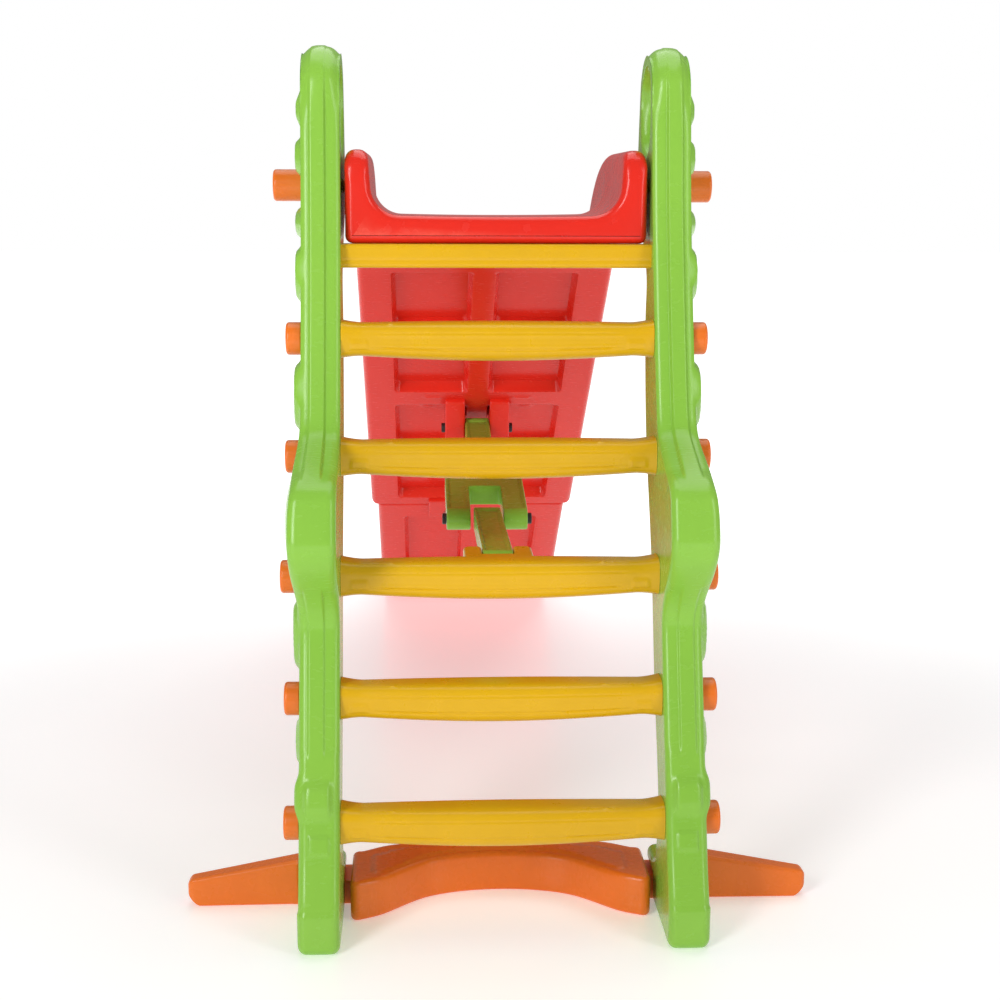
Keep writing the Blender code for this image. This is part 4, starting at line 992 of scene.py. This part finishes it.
boltShape = {"radius": 0.009, "length": 0.0065, "edge": 0.0016, "hollow": 0.0025, "hollowTop": 0.0042,
             "hollowFoot": 0.0038, "lugFace": 0.0604}


def boltHead(name, body, centre, face, side, *nodes):
    # a round head with a rounded rim and a hollow in its end
    r, length, e = boltShape["radius"], boltShape["length"], boltShape["edge"]
    end, floorX = face + length, face + length - boltShape["hollow"]
    a = np.linspace(0, math.pi / 2, 5)
    rows = [(face, 0.0001), (face, r)] + [(end - e + e * math.sin(t), r - e + e * math.cos(t)) for t in a]
    rows += [(end, boltShape["hollowTop"]), (floorX, boltShape["hollowFoot"]), (floorX, 0.0001)]
    finish(joined(name, [skin(turned(centre, side, rows, 40))]), body, "black_bolt", *nodes)


buildBrace()
for word, side in sides:
    kneeFace = braceShape["forkHalf"] + braceShape["gap"]
    boltHead(f"{word}KneeBolt", armBody, knee, kneeFace, side, f"{word}_knee_bolt")
boltHead("lugBoltHead", chuteBody, lugPivot, boltShape["lugFace"], -1)
boltHead("lugBoltNut", chuteBody, lugPivot, boltShape["lugFace"], 1, "lug_nut")
print("brace made")


# stabiliser base
baseShape = {
    "height": 0.057, "half": 0.2055, "front": -0.118, "rise": 0.096, "back": 0.024, "shoulder": -0.004,
    "rounding": 0.007, "corner": 0.009, "rows": (0.016, 0.028, 0.040), "neckFront": -0.060, "neckBack": 0.0,
    "neckHeight": 0.035, "wingRoot": 0.277, "wingReach": 0.156, "rootSize": (0.034, 0.066),
    "tipSize": (0.026, 0.038),
    "tipRound": 0.008, "tipChamfer": 0.011, "wingUnit": (0.030, 0.052), "panelRise": 0.0016,
    # the raised panel's outline on the top face, right half: front curve from the middle, corners, back curve
    "panelFront": ((0, -0.007), (0.090, -0.024), (0.138, -0.066), (0.160, -0.084)),
    "panelCorners": ((0.177, -0.088, 0.007), (0.177, -0.024, 0.006)),
    "panelBack": ((0.170, -0.022), (0.130, 0.001), (0, 0.009)),
}


def mirrored(points):
    # the points given from the middle outwards, led up to from the left by their mirror images
    return [(-x, *rest) for x, *rest in reversed(points)] + list(points[1:])


def baseOutline():
    p = baseShape
    half, front, shoulder, corner = p["half"], p["front"], p["shoulder"], p["corner"]
    arch = openSpline(mirrored([(0, front + p["rise"]), (half * 0.45, front + p["rise"] * 0.80),
                                (half * 0.80, front + 0.016), (half - 0.012, front + 0.001)]))
    back = [(0, p["back"]), (half * 0.72, p["back"] - 0.004), (half - 0.010, shoulder)]
    rear = openSpline(mirrored(back)[::-1])
    ring = [tuple(q) for q in arch] + [(half, front, corner), (half, shoulder, corner)]
    ring += [tuple(q) for q in rear[1:-1]] + [(-half, shoulder, corner), (-half, front, corner)]
    return roundedPolygon(ring, 0.0032)


def panelOutline():
    p = baseShape
    front = openSpline(mirrored(p["panelFront"]))
    back = openSpline(mirrored(p["panelBack"][::-1])[::-1])
    corners = [(-x, y, r) for x, y, r in reversed(p["panelCorners"])]
    ring = [tuple(q) for q in front] + list(p["panelCorners"]) + [tuple(q) for q in back[1:-1]] + corners
    return roundedPolygon(ring, 0.0032)


def boxRing(depth, height, radius):
    corners = ((0, 0), (depth, 0), (depth, height), (0, height))
    return roundedPolygon([(*corner, radius) for corner in corners], 0.0020)


def wingGrid(side):
    # a box section that narrows from root to tip; its end rows draw in to round the tip, chamfered below
    p = baseShape
    (unitDepth, unitHeight), reach, e = p["wingUnit"], p["wingReach"], p["tipRound"]
    unit = boxRing(unitDepth, unitHeight, 0.005)
    a = np.linspace(0, math.pi / 2, 7)[1:]
    d = np.concatenate([[0.0, 0.003], np.linspace(0.006, reach - e, 40), reach - e + e * np.sin(a)])
    draw = np.concatenate([[0.003, 0.0], np.zeros(40), e * (1 - np.cos(a))])[:, None]
    share = (d / reach)[:, None]
    depth = p["rootSize"][0] + (p["tipSize"][0] - p["rootSize"][0]) * share
    height = p["rootSize"][1] + (p["tipSize"][1] - p["rootSize"][1]) * share
    uy, uz = unit[None, :, 0] / unitDepth - 0.5, unit[None, :, 1] / unitHeight - 0.5
    chamfer = p["tipChamfer"] * smooth(reach - 0.016, reach, d)[:, None] * np.clip(0.5 - uz, 0, 1)
    y = p["neckFront"] + depth / 2 + uy * (depth - 2 * draw)
    z = height / 2 + uz * (height - 2 * draw) + chamfer
    return np.stack([np.broadcast_to(side * (p["wingRoot"] + d)[:, None], y.shape), y, z], -1)


def neckGrid(side):
    # the low bar that passes under a side frame, from the middle part to the wing
    p = baseShape
    unit = boxRing(p["neckBack"] - p["neckFront"] - 0.001, p["neckHeight"], 0.003)
    x = side * np.array([p["half"] - 0.02, p["wingRoot"] + 0.01])[:, None]
    across = (x, p["neckFront"] + 0.001 + unit[None, :, 0], unit[None, :, 1])
    return np.stack([np.broadcast_to(part, (2, len(unit))) for part in across], -1)


def buildBase():
    p = baseShape
    panel = panelOutline()

    def place(uv, w):
        return np.stack([uv[..., 0], uv[..., 1], w], -1)

    def raised(uv, edge, w):
        inside = insideOf(panel, uv) * smooth(0.0004, 0.0024, distanceTo(panel, uv))
        return w + p["panelRise"] * inside * (w > p["height"] * 0.99)

    loops = [panel, panel + inwardNormals(panel) * 0.0025]
    section = edgeProfile(p["height"], p["rounding"], p["rows"])
    pieces = [plate(baseOutline(), section, place, 0.006, loops=loops, faceShape=raised)]
    for word, side in sides:
        pieces += [skin(wingGrid(side)), skin(neckGrid(side))]
    finish(joined("stabiliserBase", pieces, sharp=50), ladderBody, "orange_plastic", "stabiliser_base")


buildBase()
print("base made")
